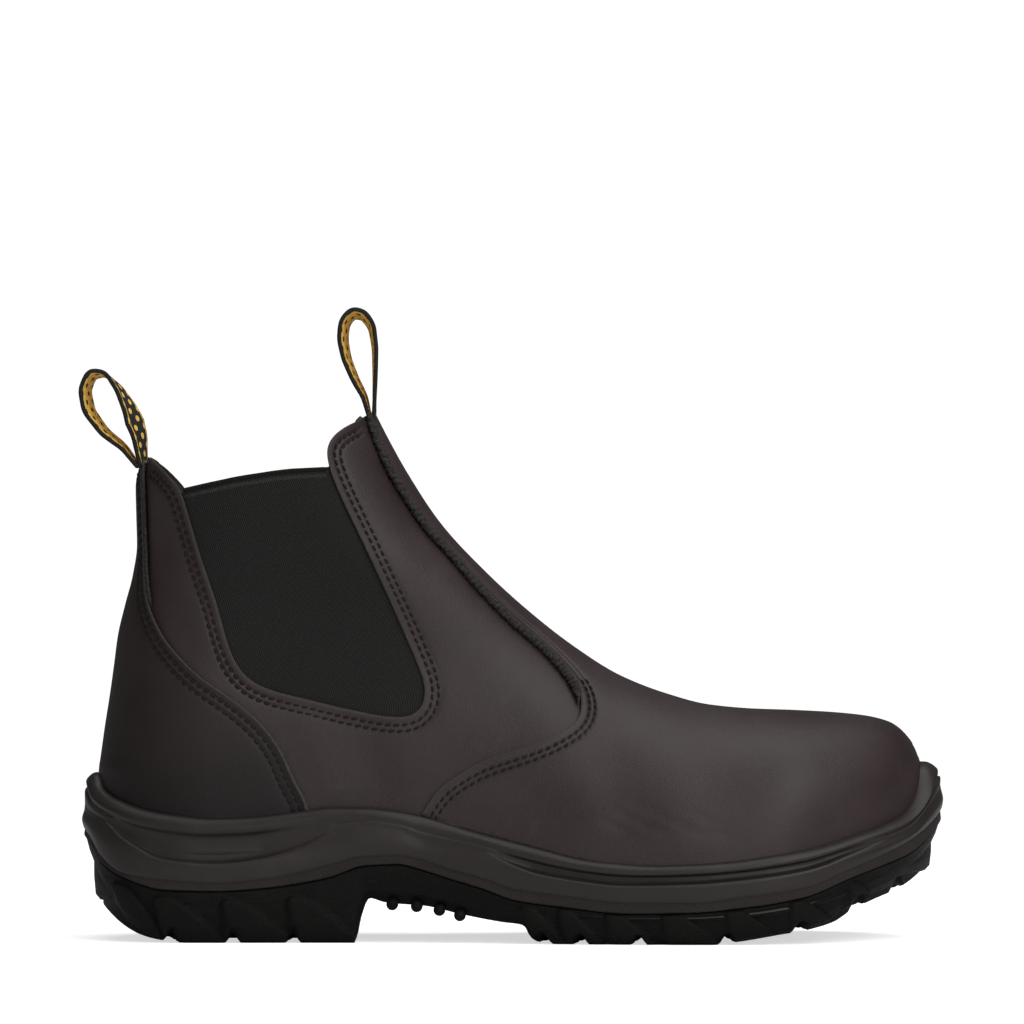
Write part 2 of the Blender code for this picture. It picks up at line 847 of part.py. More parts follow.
overlay("vamp", VAMP_SEAM, True, VAMP_MAT)
overlay("counter", COUNTER_SEAM, False, COUNTER_MAT)


def plan_point(rows, along, side):
    # Outline of the sole in plan, side is -1 lateral or 1 medial
    centre = HALF_BALL * look_up(rows, 1, along)
    half = HALF_BALL * look_up(rows, 2 if side > 0 else 3, along)
    half *= rounded(along * LENGTH, HEEL_REACH, HEEL_SQUARE)
    half *= rounded((1.0 - along) * LENGTH, TOE_REACH, TOE_SQUARE)
    return (along_to_x(along), centre + side * half)


def sole_outline(angle, inset):
    # Outline point at an angle, moved inwards across the outline
    def at(a):
        share = (1.0 + math.cos(a)) / 2.0
        return plan_point(SOLE_PLAN, share, -1.0 if math.sin(a) >= 0.0 else 1.0)

    here = at(angle)
    before = at(angle - 0.03)
    after = at(angle + 0.03)
    dx = after[0] - before[0]
    dy = after[1] - before[1]
    size = math.hypot(dx, dy)
    return (here[0] - inset * dy / size * -1.0, here[1] + inset * dx / size * -1.0)


def outline_ring(angles, inset, height):
    ring = []
    for angle in angles:
        x, y = sole_outline(angle, inset)
        ring.append((x, y, height(x)))
    return ring


# Midsole: cup wall, lip, side recess, band and the plug that sits in the rubber
def lip_ring(out_share, drop):
    # Between the leather and the outline, at the lip's height less a drop
    ring = []
    for angle in ANGLES:
        inner = skin_point(LIP_LEVEL, angle, CUP_WALL)
        x, y = sole_outline(angle, 0.0)
        ring.append((mix(inner[0], x, out_share), mix(inner[1], y, out_share), inner[2] - drop))
    return ring


def crease_ring(inset, share):
    # In the recess, between the lip's edge and the crease under it
    ring = []
    for angle in ANGLES:
        x, y = sole_outline(angle, inset)
        lip = lip_z((1.0 - math.cos(angle)) / 2.0)
        ring.append((x, y, mix(lip, sole_line(CREASE, x), share)))
    return ring


def side_ring(inset, column):
    return outline_ring(ANGLES, inset, lambda x: sole_line(column, x))


midsole_rings = [
    skin_ring(-1.0, CUP_WALL, CUP_GAP),
    lip_ring(0.00, 0.3 * MM),
    lip_ring(0.40, 0.8 * MM),
    lip_ring(0.72, 1.6 * MM),
    lip_ring(0.74, 4.2 * MM),
    crease_ring(1.7 * MM, 0.62),
    side_ring(0.2 * MM, CREASE),
    side_ring(0.0, BAND),
    side_ring(0.7 * MM, PARTING),
    side_ring(0.7 * MM + RUBBER_RIM, PARTING),
]
plug = 0.7 * MM + RUBBER_RIM
midsole_rings.append(outline_ring(ANGLES, plug + 0.6 * MM, lambda x: sole_line(RUBBER_TOP, x) + GAP))
for ring in midsole_rings[-3:-1]:
    for i, p in enumerate(ring):
        ring[i] = (p[0], p[1], p[2] + GAP)
ring_size = len(ANGLES)
midsole_faces = ring_faces(len(midsole_rings), ring_size, False)
midsole_faces += ladder_faces(0, ring_size)
midsole_faces += ladder_faces((len(midsole_rings) - 1) * ring_size, ring_size)
solid("midsole", sum(midsole_rings, []), midsole_faces, MIDSOLE_MAT)

# Outsole: tread, slanted side lugs, rim round the midsole
SOLE_ANGLES = [math.pi * i / SOLE_STEPS for i in range(2 * SOLE_STEPS)]


def tread_z(x):
    return COLLAR_HEIGHT * look_up(TREAD_LINE, 1, x_to_along(x))


def rubber_ring(inset, share, lug, shift):
    # Between tread and parting line; channels step on by shift so that the lugs slant
    ring = []
    count = len(SOLE_ANGLES)
    for i, angle in enumerate(SOLE_ANGLES):
        x, y = sole_outline(angle, inset)
        z = mix(tread_z(x), sole_line(PARTING, x), share)
        station = min(i, count - i) + shift
        if station % SIDE_LUG_STEPS == 0:
            x, y = sole_outline(angle, inset + lug * SIDE_LUG_DEPTH)
        ring.append((x, y, z))
    return ring


def finer(ring):
    # The midsole's ring with a point added halfway along each side, so that both meet face to face
    made = []
    for a, b in zip(ring, ring[1:] + ring[:1]):
        made.append(a)
        made.append((mix(a[0], b[0], 0.5), mix(a[1], b[1], 0.5), mix(a[2], b[2], 0.5)))
    return made


def rim_ring(inset):
    return finer(outline_ring(ANGLES, inset, lambda x: sole_line(PARTING, x)))


rubber_rings = [
    rubber_ring(7.5 * MM, 0.00, 0.0, 0),
    rubber_ring(4.2 * MM, 0.06, 1.0, 1),
    rubber_ring(2.2 * MM, 0.34, 1.0, 0),
    rubber_ring(0.9 * MM, 0.66, 1.0, 2),
    rubber_ring(0.2 * MM, 0.88, 0.0, 0),
    rim_ring(0.7 * MM),
    rim_ring(plug - GAP),
    finer(outline_ring(ANGLES, plug - GAP + 0.6 * MM, lambda x: sole_line(RUBBER_TOP, x))),
]
ring_size = len(SOLE_ANGLES)
rubber_faces = ring_faces(len(rubber_rings), ring_size, False)
rubber_faces += ladder_faces(0, ring_size)
rubber_faces += ladder_faces((len(rubber_rings) - 1) * ring_size, ring_size)
outsole = solid("outsole", sum(rubber_rings, []), rubber_faces, RUBBER_MAT)


def waist_outline():
    # The arch line with its ribs hanging from it, closed below the floor
    rows = []
    for along, up in WAIST_CUT:
        rows.append((along_to_x(along), up * COLLAR_HEIGHT))
    line = []
    for along in WAIST_RIBS:
        x = along_to_x(along)
        z = COLLAR_HEIGHT * look_up(WAIST_CUT, 1, along)
        line.append((x - WAIST_RIB_HALF, z, x))
        line.append((x - 0.6 * WAIST_RIB_HALF, z - WAIST_RIB_DROP, x))
        line.append((x + 0.6 * WAIST_RIB_HALF, z - WAIST_RIB_DROP, x))
        line.append((x + WAIST_RIB_HALF, z, x))
    kept = []
    for x, z in rows:
        near = min(abs(x - rib[2]) for rib in line)
        if near > WAIST_RIB_HALF * 1.2:
            kept.append((x, z))
    kept += [(x, z) for x, z, middle in line]
    kept.sort()
    return [(kept[0][0] - 0.4 * MM, -5 * MM)] + kept + [(kept[-1][0] + 0.4 * MM, -5 * MM)]


boolean(outsole, prism("waist_cut", waist_outline(), -0.080, 0.080), "DIFFERENCE")
for along, half, depth, slant in TREAD_GROOVES:
    x = along_to_x(along)
    z = tread_z(x)
    groove = (
        (x - half * MM * 1.5, z - 6 * MM),
        (x + half * MM * 1.5, z - 6 * MM),
        (x + half * MM, z + depth * MM),
        (x - half * MM, z + depth * MM),
    )
    boolean(outsole, prism("groove_cut", groove, -0.080, 0.080, math.radians(slant)), "DIFFERENCE")
weld(outsole)

# Insole: lies on the cup floor inside the upper
insole_rings = []
for depth, lift in ((INSOLE_EDGE - 0.6 * MM, 0.0), (INSOLE_EDGE, 1.2 * MM), (INSOLE_EDGE, INSOLE_THICK)):
    ring = []
    for angle in ANGLES:
        p = skin_point(-0.9, angle, depth)
        ring.append((p[0], p[1], sole_line(CUP_FLOOR, p[0]) + lift))
    insole_rings.append(ring)
ring_size = len(ANGLES)
insole_faces = ring_faces(3, ring_size, False)
insole_faces += ladder_faces(0, ring_size) + ladder_faces(2 * ring_size, ring_size)
solid("insole", sum(insole_rings, []), insole_faces, INSOLE_MAT)


# Rolled seam beside the vamp's front strip
def bead(name, side):
    sides = 6
    path = []
    for row in range(BEAD_FIRST, KEPT_ROWS + 1):
        level = row / KEPT_ROWS
        angle = side * seam_angle(VAMP_SEAM, level, True)
        path.append((level, angle, surface(level, angle)))
    stations = len(path) - 2
    points = []
    for i in range(1, stations + 1):
        level, angle, here = path[i]
        tangent = unit(minus(path[i + 1][2], path[i - 1][2]))
        normal = skin_normal(level, angle)
        across = unit(cross(normal, tangent))
        if across[0] > 0.0:
            across = plus((0.0, 0.0, 0.0), across, -1.0)
        centre = plus(here, normal, UPPER_OUT + OVERLAY_GAP + BEAD_SPARE + BEAD_RADIUS)
        centre = plus(centre, across, BEAD_RADIUS + OVERLAY_GAP + BEAD_SPARE)
        for k in range(sides):
            turn = 2.0 * math.pi * (k + 0.5) / sides
            p = plus(centre, across, BEAD_RADIUS * math.cos(turn))
            points.append(plus(p, normal, BEAD_RADIUS * math.sin(turn)))
    faces = ring_faces(stations, sides, False)
    faces.append(tuple(range(sides)))
    faces.append(tuple(range((stations - 1) * sides, stations * sides)))
    return solid(name, points, faces, BEAD_MAT)


bead("front_bead_lateral", 1.0)
bead("front_bead_medial", -1.0)


# Webbing loops: a strap of even thickness, its two ends sewn together at the foot
def webbing_loop(name, path, lift, surface_material):
    middle = [(x * MM, z * MM) for x, z in path]
    count = len(middle)
    outer = []
    inner = []
    for i in range(count):
        before = middle[max(i - 1, 0)]
        after = middle[min(i + 1, count - 1)]
        dx = after[0] - before[0]
        dz = after[1] - before[1]
        size = math.hypot(dx, dz)
        outer.append((middle[i][0] - dz / size * WEBBING / 2, middle[i][1] + dx / size * WEBBING / 2))
        inner.append((middle[i][0] + dz / size * WEBBING / 2, middle[i][1] - dx / size * WEBBING / 2))
    inner = inner[1:-1]
    foot = min(outer[0][1], outer[-1][1])
    outer[0] = (outer[0][0], foot)
    outer[-1] = (outer[-1][0], foot)
    points = []
    for y in (-WEBBING_HALF_WIDTH, WEBBING_HALF_WIDTH):
        points += [(x, y, z + lift) for x, z in outer]
        points += [(x, y, z + lift) for x, z in inner]
    outers = len(outer)
    inners = len(inner)
    layer = outers + inners
    faces = []
    for i in range(outers - 1):
        faces.append((i, i + 1, layer + i + 1, layer + i))
    for i in range(inners - 1):
        a = outers + i
        faces.append((a, layer + a, layer + a + 1, a + 1))
    first = outers
    final = outers + inners - 1
    faces.append((0, layer, layer + outers - 1, outers - 1))
    faces.append((final, layer + final, layer + first, first))
    for base in (0, layer):
        faces.append((base, base + 1, base + first))
        for i in range(1, outers - 2):
            a = base + i
            b = base + outers + i - 1
            faces.append((a, a + 1, b + 1, b))
        faces.append((base + outers - 2, base + outers - 1, base + final))
        faces.append((base, base + first, base + final, base + outers - 1))
    return solid(name, points, faces, surface_material)


webbing_loop("pull_loop_front", FRONT_LOOP, LOOP_FOOT_GAP, FRONT_WEB_MAT)
webbing_loop("pull_loop_rear", REAR_LOOP, LOOP_FOOT_GAP, REAR_WEB_MAT)
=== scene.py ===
# %% [markdown]
# # A right work boot with elastic sides
# The boot stands on its own sole, toe along +X, and the camera looks at its lateral side.
# Everything is in metres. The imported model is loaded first, because each piece below stands
# where one of its solids stands.

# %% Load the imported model
import math

import bmesh
import bpy
import numpy as np
from mathutils import Matrix, Vector, kdtree


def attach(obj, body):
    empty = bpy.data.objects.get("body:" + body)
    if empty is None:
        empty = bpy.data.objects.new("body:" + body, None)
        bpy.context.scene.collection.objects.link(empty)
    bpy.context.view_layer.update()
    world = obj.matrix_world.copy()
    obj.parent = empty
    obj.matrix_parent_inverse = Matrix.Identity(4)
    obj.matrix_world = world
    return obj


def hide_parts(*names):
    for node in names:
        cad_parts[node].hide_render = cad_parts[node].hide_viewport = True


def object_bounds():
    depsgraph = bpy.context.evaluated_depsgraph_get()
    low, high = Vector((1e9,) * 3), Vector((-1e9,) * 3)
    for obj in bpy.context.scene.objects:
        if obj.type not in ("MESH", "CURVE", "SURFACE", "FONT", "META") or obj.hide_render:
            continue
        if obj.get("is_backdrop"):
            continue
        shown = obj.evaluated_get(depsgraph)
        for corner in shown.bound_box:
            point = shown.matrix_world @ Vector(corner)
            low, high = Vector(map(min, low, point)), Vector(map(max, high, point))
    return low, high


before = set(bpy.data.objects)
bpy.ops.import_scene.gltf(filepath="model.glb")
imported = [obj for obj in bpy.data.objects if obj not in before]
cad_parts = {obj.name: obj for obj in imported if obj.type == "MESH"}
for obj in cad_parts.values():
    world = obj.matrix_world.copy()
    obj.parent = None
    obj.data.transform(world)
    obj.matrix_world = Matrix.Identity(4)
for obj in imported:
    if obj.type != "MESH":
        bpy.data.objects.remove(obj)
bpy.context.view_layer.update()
print("solids", sorted(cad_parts))

# %% [markdown]
# ## The last
# A shoemaker starts from a last, the wooden foot that leather is pulled over. Here the last is a
# surface: tables give the side outline, the plan and the widths, and a smooth curve runs through
# the rows of each table. Every panel, seam and stitch is laid on this one surface, so they fit.

# %% Sizes of the boot, as in its CAD source
MM = 0.001
LENGTH = 306.0 * MM
HEEL_BACK = -61.5 * MM
COLLAR_HEIGHT = 187.2 * MM
HALF_BALL = 55.0 * MM
HALF_SHAFT = 38.5 * MM
TOE_BUMPER = 6.0 * MM
LAST_TOE = HEEL_BACK + LENGTH - TOE_BUMPER
LAST_TOE_LEVEL = 50.0 * MM
GAP = 0.3 * MM
WALL = 2.3 * MM
OVERLAY = 1.4 * MM
UPPER_OUT = -1.85 * MM
UPPER_IN = UPPER_OUT - WALL
CUP_GAP = 0.5 * MM
CUP_WALL = UPPER_OUT + CUP_GAP
HEEL_REACH = 41.0 * MM
HEEL_SQUARE = 2.15
TOE_REACH = 72.0 * MM
TOE_SQUARE = 2.3
SHAFT_REACH = 47.0 * MM
SHAFT_SQUARE = 2.0
BLEND_LOW = 85.0 * MM
BLEND_HIGH = 140.0 * MM
RING_BOW = 9.0 * MM

# The outline over the toe and up the front: share of the length, share of the collar's height
FRONT_PROFILE = (
    (0.9732, 0.3403), (0.9627, 0.3766), (0.9382, 0.4108), (0.9033, 0.4241), (0.8337, 0.4332),
    (0.7814, 0.4359), (0.7291, 0.4439), (0.6768, 0.4658), (0.6242, 0.5000), (0.5719, 0.5534),
    (0.5196, 0.6197), (0.4673, 0.6976), (0.4150, 0.7906), (0.3801, 0.8766), (0.3553, 0.9482),
    (0.3392, 1.0000),
)
# The outline up the heel: share of the collar's height, share of the length
BACK_PROFILE = (
    (0.3195, 0.0183), (0.3478, 0.0206), (0.4049, 0.0255), (0.4621, 0.0310), (0.5192, 0.0359),
    (0.5759, 0.0405), (0.6330, 0.0487), (0.6902, 0.0578), (0.7473, 0.0627), (0.8044, 0.0618),
    (0.8611, 0.0611), (0.9081, 0.0670),
)
# Seen from above: share of the length, middle line, medial and lateral half widths
UPPER_PLAN = (
    (0.000, 0.000, 0.640, 0.640), (0.152, 0.000, 0.655, 0.655), (0.266, 0.000, 0.645, 0.645),
    (0.381, -0.009, 0.600, 0.672), (0.495, 0.000, 0.664, 0.764), (0.609, 0.018, 0.800, 0.900),
    (0.691, 0.036, 0.873, 0.964), (0.740, 0.055, 0.873, 0.982), (0.806, 0.073, 0.855, 0.982),
    (0.887, 0.109, 0.800, 0.927), (0.980, 0.145, 0.691, 0.818),
)
SOLE_PLAN = (
    (0.000, 0.000, 0.709, 0.709), (0.152, 0.000, 0.736, 0.736), (0.266, 0.000, 0.727, 0.727),
    (0.381, -0.009, 0.664, 0.745), (0.495, 0.000, 0.736, 0.845), (0.609, 0.018, 0.873, 0.973),
    (0.691, 0.036, 0.955, 1.036), (0.740, 0.055, 0.955, 1.055), (0.806, 0.073, 0.936, 1.055),
    (0.887, 0.109, 0.891, 1.009), (1.000, 0.155, 0.764, 0.891),
)
# Across the foot: share of the length, height of the widest point, squareness over the top
FOOT_SECTIONS = (
    (0.000, 0.240, 2.0), (0.300, 0.240, 1.9), (0.500, 0.200, 1.75), (0.640, 0.170, 1.80),
    (0.740, 0.170, 2.00), (0.850, 0.190, 2.35), (1.000, 0.240, 2.50),
)
# Across the shaft: share of the collar's height, half width
SHAFT_WIDTH = (
    (0.30, 0.935), (0.45, 0.915), (0.60, 0.930), (0.75, 0.970), (0.88, 1.000), (1.00, 1.000),
)
# Top edge of the midsole: share of its own length, share of the collar's height
LIP_LINE = (
    (0.0000, 0.3195), (0.0086, 0.2906), (0.0352, 0.2660), (0.0657, 0.2510), (0.1023, 0.2415),
    (0.1403, 0.2356), (0.1865, 0.2377), (0.2474, 0.2489), (0.2851, 0.2564), (0.3251, 0.2564),
    (0.3583, 0.2511), (0.3946, 0.2393), (0.4507, 0.2131), (0.4873, 0.1976), (0.5373, 0.1768),
    (0.5774, 0.1613), (0.6177, 0.1538), (0.6591, 0.1501), (0.7088, 0.1522), (0.7587, 0.1576),
    (0.8001, 0.1672), (0.8539, 0.1810), (0.9110, 0.2070), (0.9408, 0.2217), (0.9699, 0.2440),
    (0.9853, 0.2740), (0.9925, 0.3010), (0.9976, 0.3285), (1.0000, 0.3403),
)
# Share of the length, then the heights of five lines of the sole, named just below
SOLE_LINES = (
    (0.000, 0.245, 0.212, 0.196, 0.165, 0.085), (0.008, 0.238, 0.200, 0.182, 0.165, 0.084),
    (0.023, 0.228, 0.164, 0.148, 0.162, 0.080), (0.049, 0.200, 0.133, 0.122, 0.160, 0.072),
    (0.101, 0.163, 0.120, 0.099, 0.160, 0.066), (0.158, 0.156, 0.114, 0.097, 0.160, 0.064),
    (0.216, 0.166, 0.122, 0.103, 0.160, 0.064), (0.255, 0.181, 0.134, 0.112, 0.162, 0.070),
    (0.290, 0.205, 0.149, 0.124, 0.164, 0.092), (0.329, 0.218, 0.165, 0.145, 0.165, 0.110),
    (0.368, 0.210, 0.167, 0.148, 0.162, 0.110), (0.396, 0.192, 0.158, 0.137, 0.155, 0.102),
    (0.425, 0.183, 0.142, 0.122, 0.146, 0.093), (0.464, 0.172, 0.125, 0.103, 0.132, 0.078),
    (0.503, 0.150, 0.104, 0.081, 0.118, 0.062), (0.555, 0.131, 0.093, 0.070, 0.108, 0.050),
    (0.632, 0.118, 0.080, 0.058, 0.099, 0.044), (0.705, 0.121, 0.080, 0.060, 0.098, 0.043),
    (0.763, 0.129, 0.091, 0.069, 0.102, 0.047), (0.834, 0.146, 0.108, 0.088, 0.118, 0.062),
    (0.888, 0.172, 0.142, 0.122, 0.138, 0.085), (0.925, 0.190, 0.166, 0.144, 0.156, 0.108),
    (0.960, 0.212, 0.192, 0.166, 0.168, 0.125), (0.982, 0.250, 0.218, 0.192, 0.174, 0.132),
    (1.000, 0.285, 0.246, 0.222, 0.178, 0.138),
)
CREASE, BAND, PARTING, CUP_FLOOR, RUBBER_TOP = 1, 2, 3, 4, 5
# The tread's lift off the floor, the arch, and where the two seams run in the side view
TREAD_LINE = (
    (0.000, 0.135), (0.0185, 0.078), (0.034, 0.052), (0.053, 0.028), (0.070, 0.014), (0.088, 0.006),
    (0.110, 0.001), (0.122, 0.000), (0.728, 0.000), (0.760, 0.006), (0.795, 0.015), (0.840, 0.027),
    (0.868, 0.040), (0.890, 0.062), (0.915, 0.080), (0.945, 0.099), (0.970, 0.124), (1.000, 0.170),
)
WAIST_CUT = (
    (0.318, 0.000), (0.322, 0.035), (0.334, 0.084), (0.352, 0.076), (0.400, 0.069), (0.440, 0.054),
    (0.486, 0.040), (0.512, 0.034), (0.520, 0.012), (0.532, 0.000),
)
VAMP_SEAM = (
    (0.150, 0.370), (0.257, 0.400), (0.291, 0.416), (0.321, 0.441), (0.348, 0.472), (0.378, 0.530),
    (0.403, 0.561), (0.420, 0.575), (0.447, 0.579), (0.471, 0.578), (0.502, 0.567), (0.536, 0.549),
    (0.572, 0.527), (0.606, 0.501), (0.643, 0.479), (0.686, 0.454), (0.736, 0.429), (0.781, 0.403),
    (0.835, 0.381), (0.888, 0.3605), (0.934, 0.348), (0.987, 0.336), (1.010, 0.333),
)
COUNTER_SEAM = (
    (0.150, 0.275), (0.259, 0.263), (0.310, 0.248), (0.363, 0.233), (0.413, 0.210), (0.451, 0.183),
    (0.481, 0.157), (0.502, 0.138), (0.529, 0.121), (0.567, 0.100), (0.603, 0.087), (0.633, 0.079),
    (0.670, 0.0745), (0.719, 0.0725), (0.825, 0.0700), (0.884, 0.0690), (0.912, 0.0680),
    (0.940, 0.0670),
)
print("boot", round(LENGTH / MM), "mm long, collar at", round(COLLAR_HEIGHT / MM), "mm")


# %% The surface of the last
def table(rows, column, at):
    """A smooth curve through one column of a table, which never overshoots between rows."""
    rows = np.asarray(rows, float)
    x, y = rows[:, 0], rows[:, column]
    step = np.diff(x)
    rise = np.diff(y) / step
    slope = np.zeros_like(x)
    slope[0], slope[-1] = rise[0], rise[-1]
    before = 2.0 * step[1:] + step[:-1]
    after = step[1:] + 2.0 * step[:-1]
    same = rise[:-1] * rise[1:] > 0.0
    safe_a = np.where(same, rise[:-1], 1.0)
    safe_b = np.where(same, rise[1:], 1.0)
    slope[1:-1] = np.where(same, (before + after) / (before / safe_a + after / safe_b), 0.0)
    at = np.clip(np.asarray(at, float), x[0], x[-1])
    i = np.clip(np.searchsorted(x, at, side="right") - 1, 0, len(x) - 2)
    q = (at - x[i]) / step[i]
    return ((2 * q ** 3 - 3 * q ** 2 + 1) * y[i] + (q ** 3 - 2 * q ** 2 + q) * step[i] * slope[i]
            + (3 * q ** 2 - 2 * q ** 3) * y[i + 1] + (q ** 3 - q ** 2) * step[i] * slope[i + 1])


def ease(low, high, value):
    q = np.clip((value - low) / (high - low), 0.0, 1.0)
    return q * q * (3.0 - 2.0 * q)


def mix(a, b, share):
    return a + (b - a) * share


def rounded(distance, reach, square):
    q = np.clip(distance / reach, 0.0, 1.0)
    return (1.0 - (1.0 - q) ** square) ** (1.0 / square)


def to_x(along):
    return HEEL_BACK + along * LENGTH


def to_along(x):
    return (x - HEEL_BACK) / LENGTH


TOE_ROWS = ((to_along(LAST_TOE), LAST_TOE_LEVEL / COLLAR_HEIGHT), (0.9772, 0.3050))
FRONT_BY_HEIGHT = tuple((up, along) for along, up in TOE_ROWS + FRONT_PROFILE)
TOP_BY_LENGTH = tuple(sorted(TOE_ROWS + FRONT_PROFILE))
BACK_BY_HEIGHT = ((0.15, 0.0270), (0.25, 0.0180)) + BACK_PROFILE


def front_x(z):
    up = z / COLLAR_HEIGHT
    return to_x(table(FRONT_BY_HEIGHT, 1, up) - 0.32 * np.maximum(0.0, up - 1.0))


def back_x(z):
    return to_x(table(BACK_BY_HEIGHT, 1, z / COLLAR_HEIGHT))


def top_z(x):
    along = to_along(x)
    first = TOP_BY_LENGTH[0][0]
    return COLLAR_HEIGHT * np.where(along < first, 1.0 + 3.1 * (first - along),
                                    table(TOP_BY_LENGTH, 1, along))


def half_width(x, z, lateral):
    along = to_along(x)
    foot = HALF_BALL * np.where(lateral, table(UPPER_PLAN, 3, along), table(UPPER_PLAN, 2, along))
    foot = foot * rounded(LAST_TOE - x, TOE_REACH, TOE_SQUARE)
    top = top_z(x)
    widest = COLLAR_HEIGHT * table(FOOT_SECTIONS, 1, along)
    foot = foot * rounded(top - z, np.maximum(top - widest, MM), table(FOOT_SECTIONS, 2, along))
    shaft = HALF_SHAFT * table(SHAFT_WIDTH, 1, z / COLLAR_HEIGHT)
    shaft = shaft * rounded(front_x(z) - x, SHAFT_REACH, SHAFT_SQUARE)
    width = mix(foot, shaft, ease(BLEND_LOW, BLEND_HIGH, z))
    return width * rounded(x - back_x(z), HEEL_REACH, HEEL_SQUARE)


def ridge_y(x, z):
    low = HALF_BALL * table(UPPER_PLAN, 1, to_along(x))
    return low * (1.0 - ease(BLEND_LOW, BLEND_HIGH, z))


def arc_rows(points):
    points = np.asarray(points, float)
    run = np.concatenate(([0.0], np.cumsum(np.hypot(*np.diff(points, axis=0).T))))
    return np.column_stack((run / run[-1], points))


FRONT_CURVE = arc_rows([(to_x(a), u * COLLAR_HEIGHT) for a, u in FRONT_PROFILE])
BACK_CURVE = arc_rows([(to_x(a), u * COLLAR_HEIGHT) for u, a in BACK_PROFILE])


def sole_line(column, x):
    return COLLAR_HEIGHT * table(SOLE_LINES, column, to_along(x))


def lip_z(share):
    return COLLAR_HEIGHT * table(LIP_LINE, 1, 1.0 - share)


def side_point(t, angle):
    """Side view of the surface: t is 0 at the lip and 1 at the collar, angle 0 at the front."""
    share = (1.0 - np.cos(angle)) / 2.0
    up = np.maximum(t, 0.0)
    x = mix(table(FRONT_CURVE, 1, up ** 1.5), table(BACK_CURVE, 1, up ** 2.1), share)
    z = mix(table(FRONT_CURVE, 2, up ** 1.5), table(BACK_CURVE, 2, up ** 2.1), share)
    chord = mix(FRONT_CURVE[0][2], BACK_CURVE[0][2], share)
    z = z + (lip_z(share) - chord) * (1.0 - up) ** 1.5
    z = z - RING_BOW * 4.0 * share * (1.0 - share) * np.sin(np.pi * up) ** 2
    below = np.clip(-t, 0.0, 1.0)
    z = mix(z, sole_line(CUP_FLOOR, x), below)
    ahead = front_x(z) - FRONT_CURVE[0][1]
    behind = back_x(z) - BACK_CURVE[0][1]
    x = np.where(t < 0.0, x + mix(ahead, behind, share), x)
    return x, z


def last(t, angle):
    """Points of the outermost leather surface, as rows of x, y, z."""
    t, angle = np.broadcast_arrays(np.asarray(t, float), np.asarray(angle, float))
    x, z = side_point(t, angle)
    lateral = np.sin(angle) >= 0.0
    y = ridge_y(x, z) + np.where(lateral, -1.0, 1.0) * half_width(x, z, lateral)
    return np.stack((x, y, z), axis=-1)


def units(v):
    return v / np.maximum(np.linalg.norm(v, axis=-1, keepdims=True), 1e-12)


LIP_CLEAR = 0.014
LEVEL_STEP = 0.012
ANGLE_STEP = 0.045


def last_normal(t, angle):
    """Outward normals. The rings change their shape at the lip, so no step straddles it."""
    t = np.where(np.abs(t) < LIP_CLEAR, LIP_CLEAR, t)
    upward = (last(np.minimum(t + LEVEL_STEP, 1.0), angle)
              - last(np.maximum(t - LEVEL_STEP, -1.0), angle))
    return units(np.cross(upward, last(t, angle + ANGLE_STEP) - last(t, angle - ANGLE_STEP)))


def skin(t, angle, depth=0.0):
    """Points at a depth from the surface, and their outward normals."""
    normal = last_normal(t, angle)
    return last(t, angle) + normal * np.asarray(depth)[..., None], normal


def side_skin(x, z, side, depth=0.0):
    """The same surface from a point of the side view; side is -1 lateral, 1 medial."""
    def y_at(px, pz):
        return ridge_y(px, pz) + side * half_width(px, pz, side < 0)

    step = 0.4 * MM
    along = (y_at(x + step, z) - y_at(x - step, z)) / (2 * step)
    up = (y_at(x, z + step) - y_at(x, z - step)) / (2 * step)
    normal = units(np.stack((-along * side, np.full_like(along, side), -up * side), axis=-1))
    return np.stack((x, y_at(x, z), z), axis=-1) + normal * np.asarray(depth)[..., None], normal


def seam_angle(seam, t, from_front):
    """Angle at which each ring crosses a seam of the side view."""
    t = np.atleast_1d(t)
    angles = np.linspace(0.0, np.pi, 361)
    if not from_front:
        angles = angles[::-1]
    x, z = side_point(t[:, None], angles[None, :])
    over = x - to_x(table(seam, 1, z / COLLAR_HEIGHT))
    change = over[:, :-1] * over[:, 1:] <= 0.0
    i = np.argmax(change, axis=1)
    row = np.arange(len(t))
    a, b = over[row, i], over[row, i + 1]
    share = np.where(a != b, a / np.where(a != b, a - b, 1.0), 0.0)
    return mix(angles[i], angles[i + 1], share)


tip = last(np.array([0.0, 1.0]), np.array([0.0, 0.0]))
print("toe and collar front", (tip / MM).round(1).tolist())

# %% [markdown]
# ## Sheets, tubes and stitches
# Each panel starts as a flat grid from `bmesh.ops.create_grid`, like leather on the cutting
# table, and every vertex is then carried onto the last. A cord is the same grid rolled up.


# %% Helpers that make pieces
def run_of(path):
    return np.concatenate(([0.0], np.cumsum(np.linalg.norm(np.diff(path, axis=0), axis=1))))


def smooth_rows(values, rounds=12):
    values = values.copy()
    for _ in range(rounds):
        values[1:-1] = (values[:-2] + 2.0 * values[1:-1] + values[2:]) / 4.0
    return values


def resample(path, count, rounds=14):
    """A smooth line of evenly spaced points through a few given ones."""
    path = np.asarray(path, float)
    for _ in range(2):
        run = run_of(path)
        even = np.linspace(0.0, run[-1], count)
        path = np.column_stack([np.interp(even, run, path[:, k]) for k in range(path.shape[1])])
        path = smooth_rows(path, rounds)
    return path


def length_of(path):
    return float(np.linalg.norm(np.diff(path, axis=0), axis=1).sum())


def finish_piece(piece, replaced=()):
    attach(piece, "root")
    if replaced:
        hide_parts(*replaced)
    return piece


def into_object(work, name, materials, smooth=True):
    mesh = bpy.data.meshes.new(name)
    work.to_mesh(mesh)
    work.free()
    for face in mesh.polygons:
        face.use_smooth = smooth
    piece = bpy.data.objects.new(name, mesh)
    bpy.context.scene.collection.objects.link(piece)
    for material in materials:
        mesh.materials.append(material)
    return piece


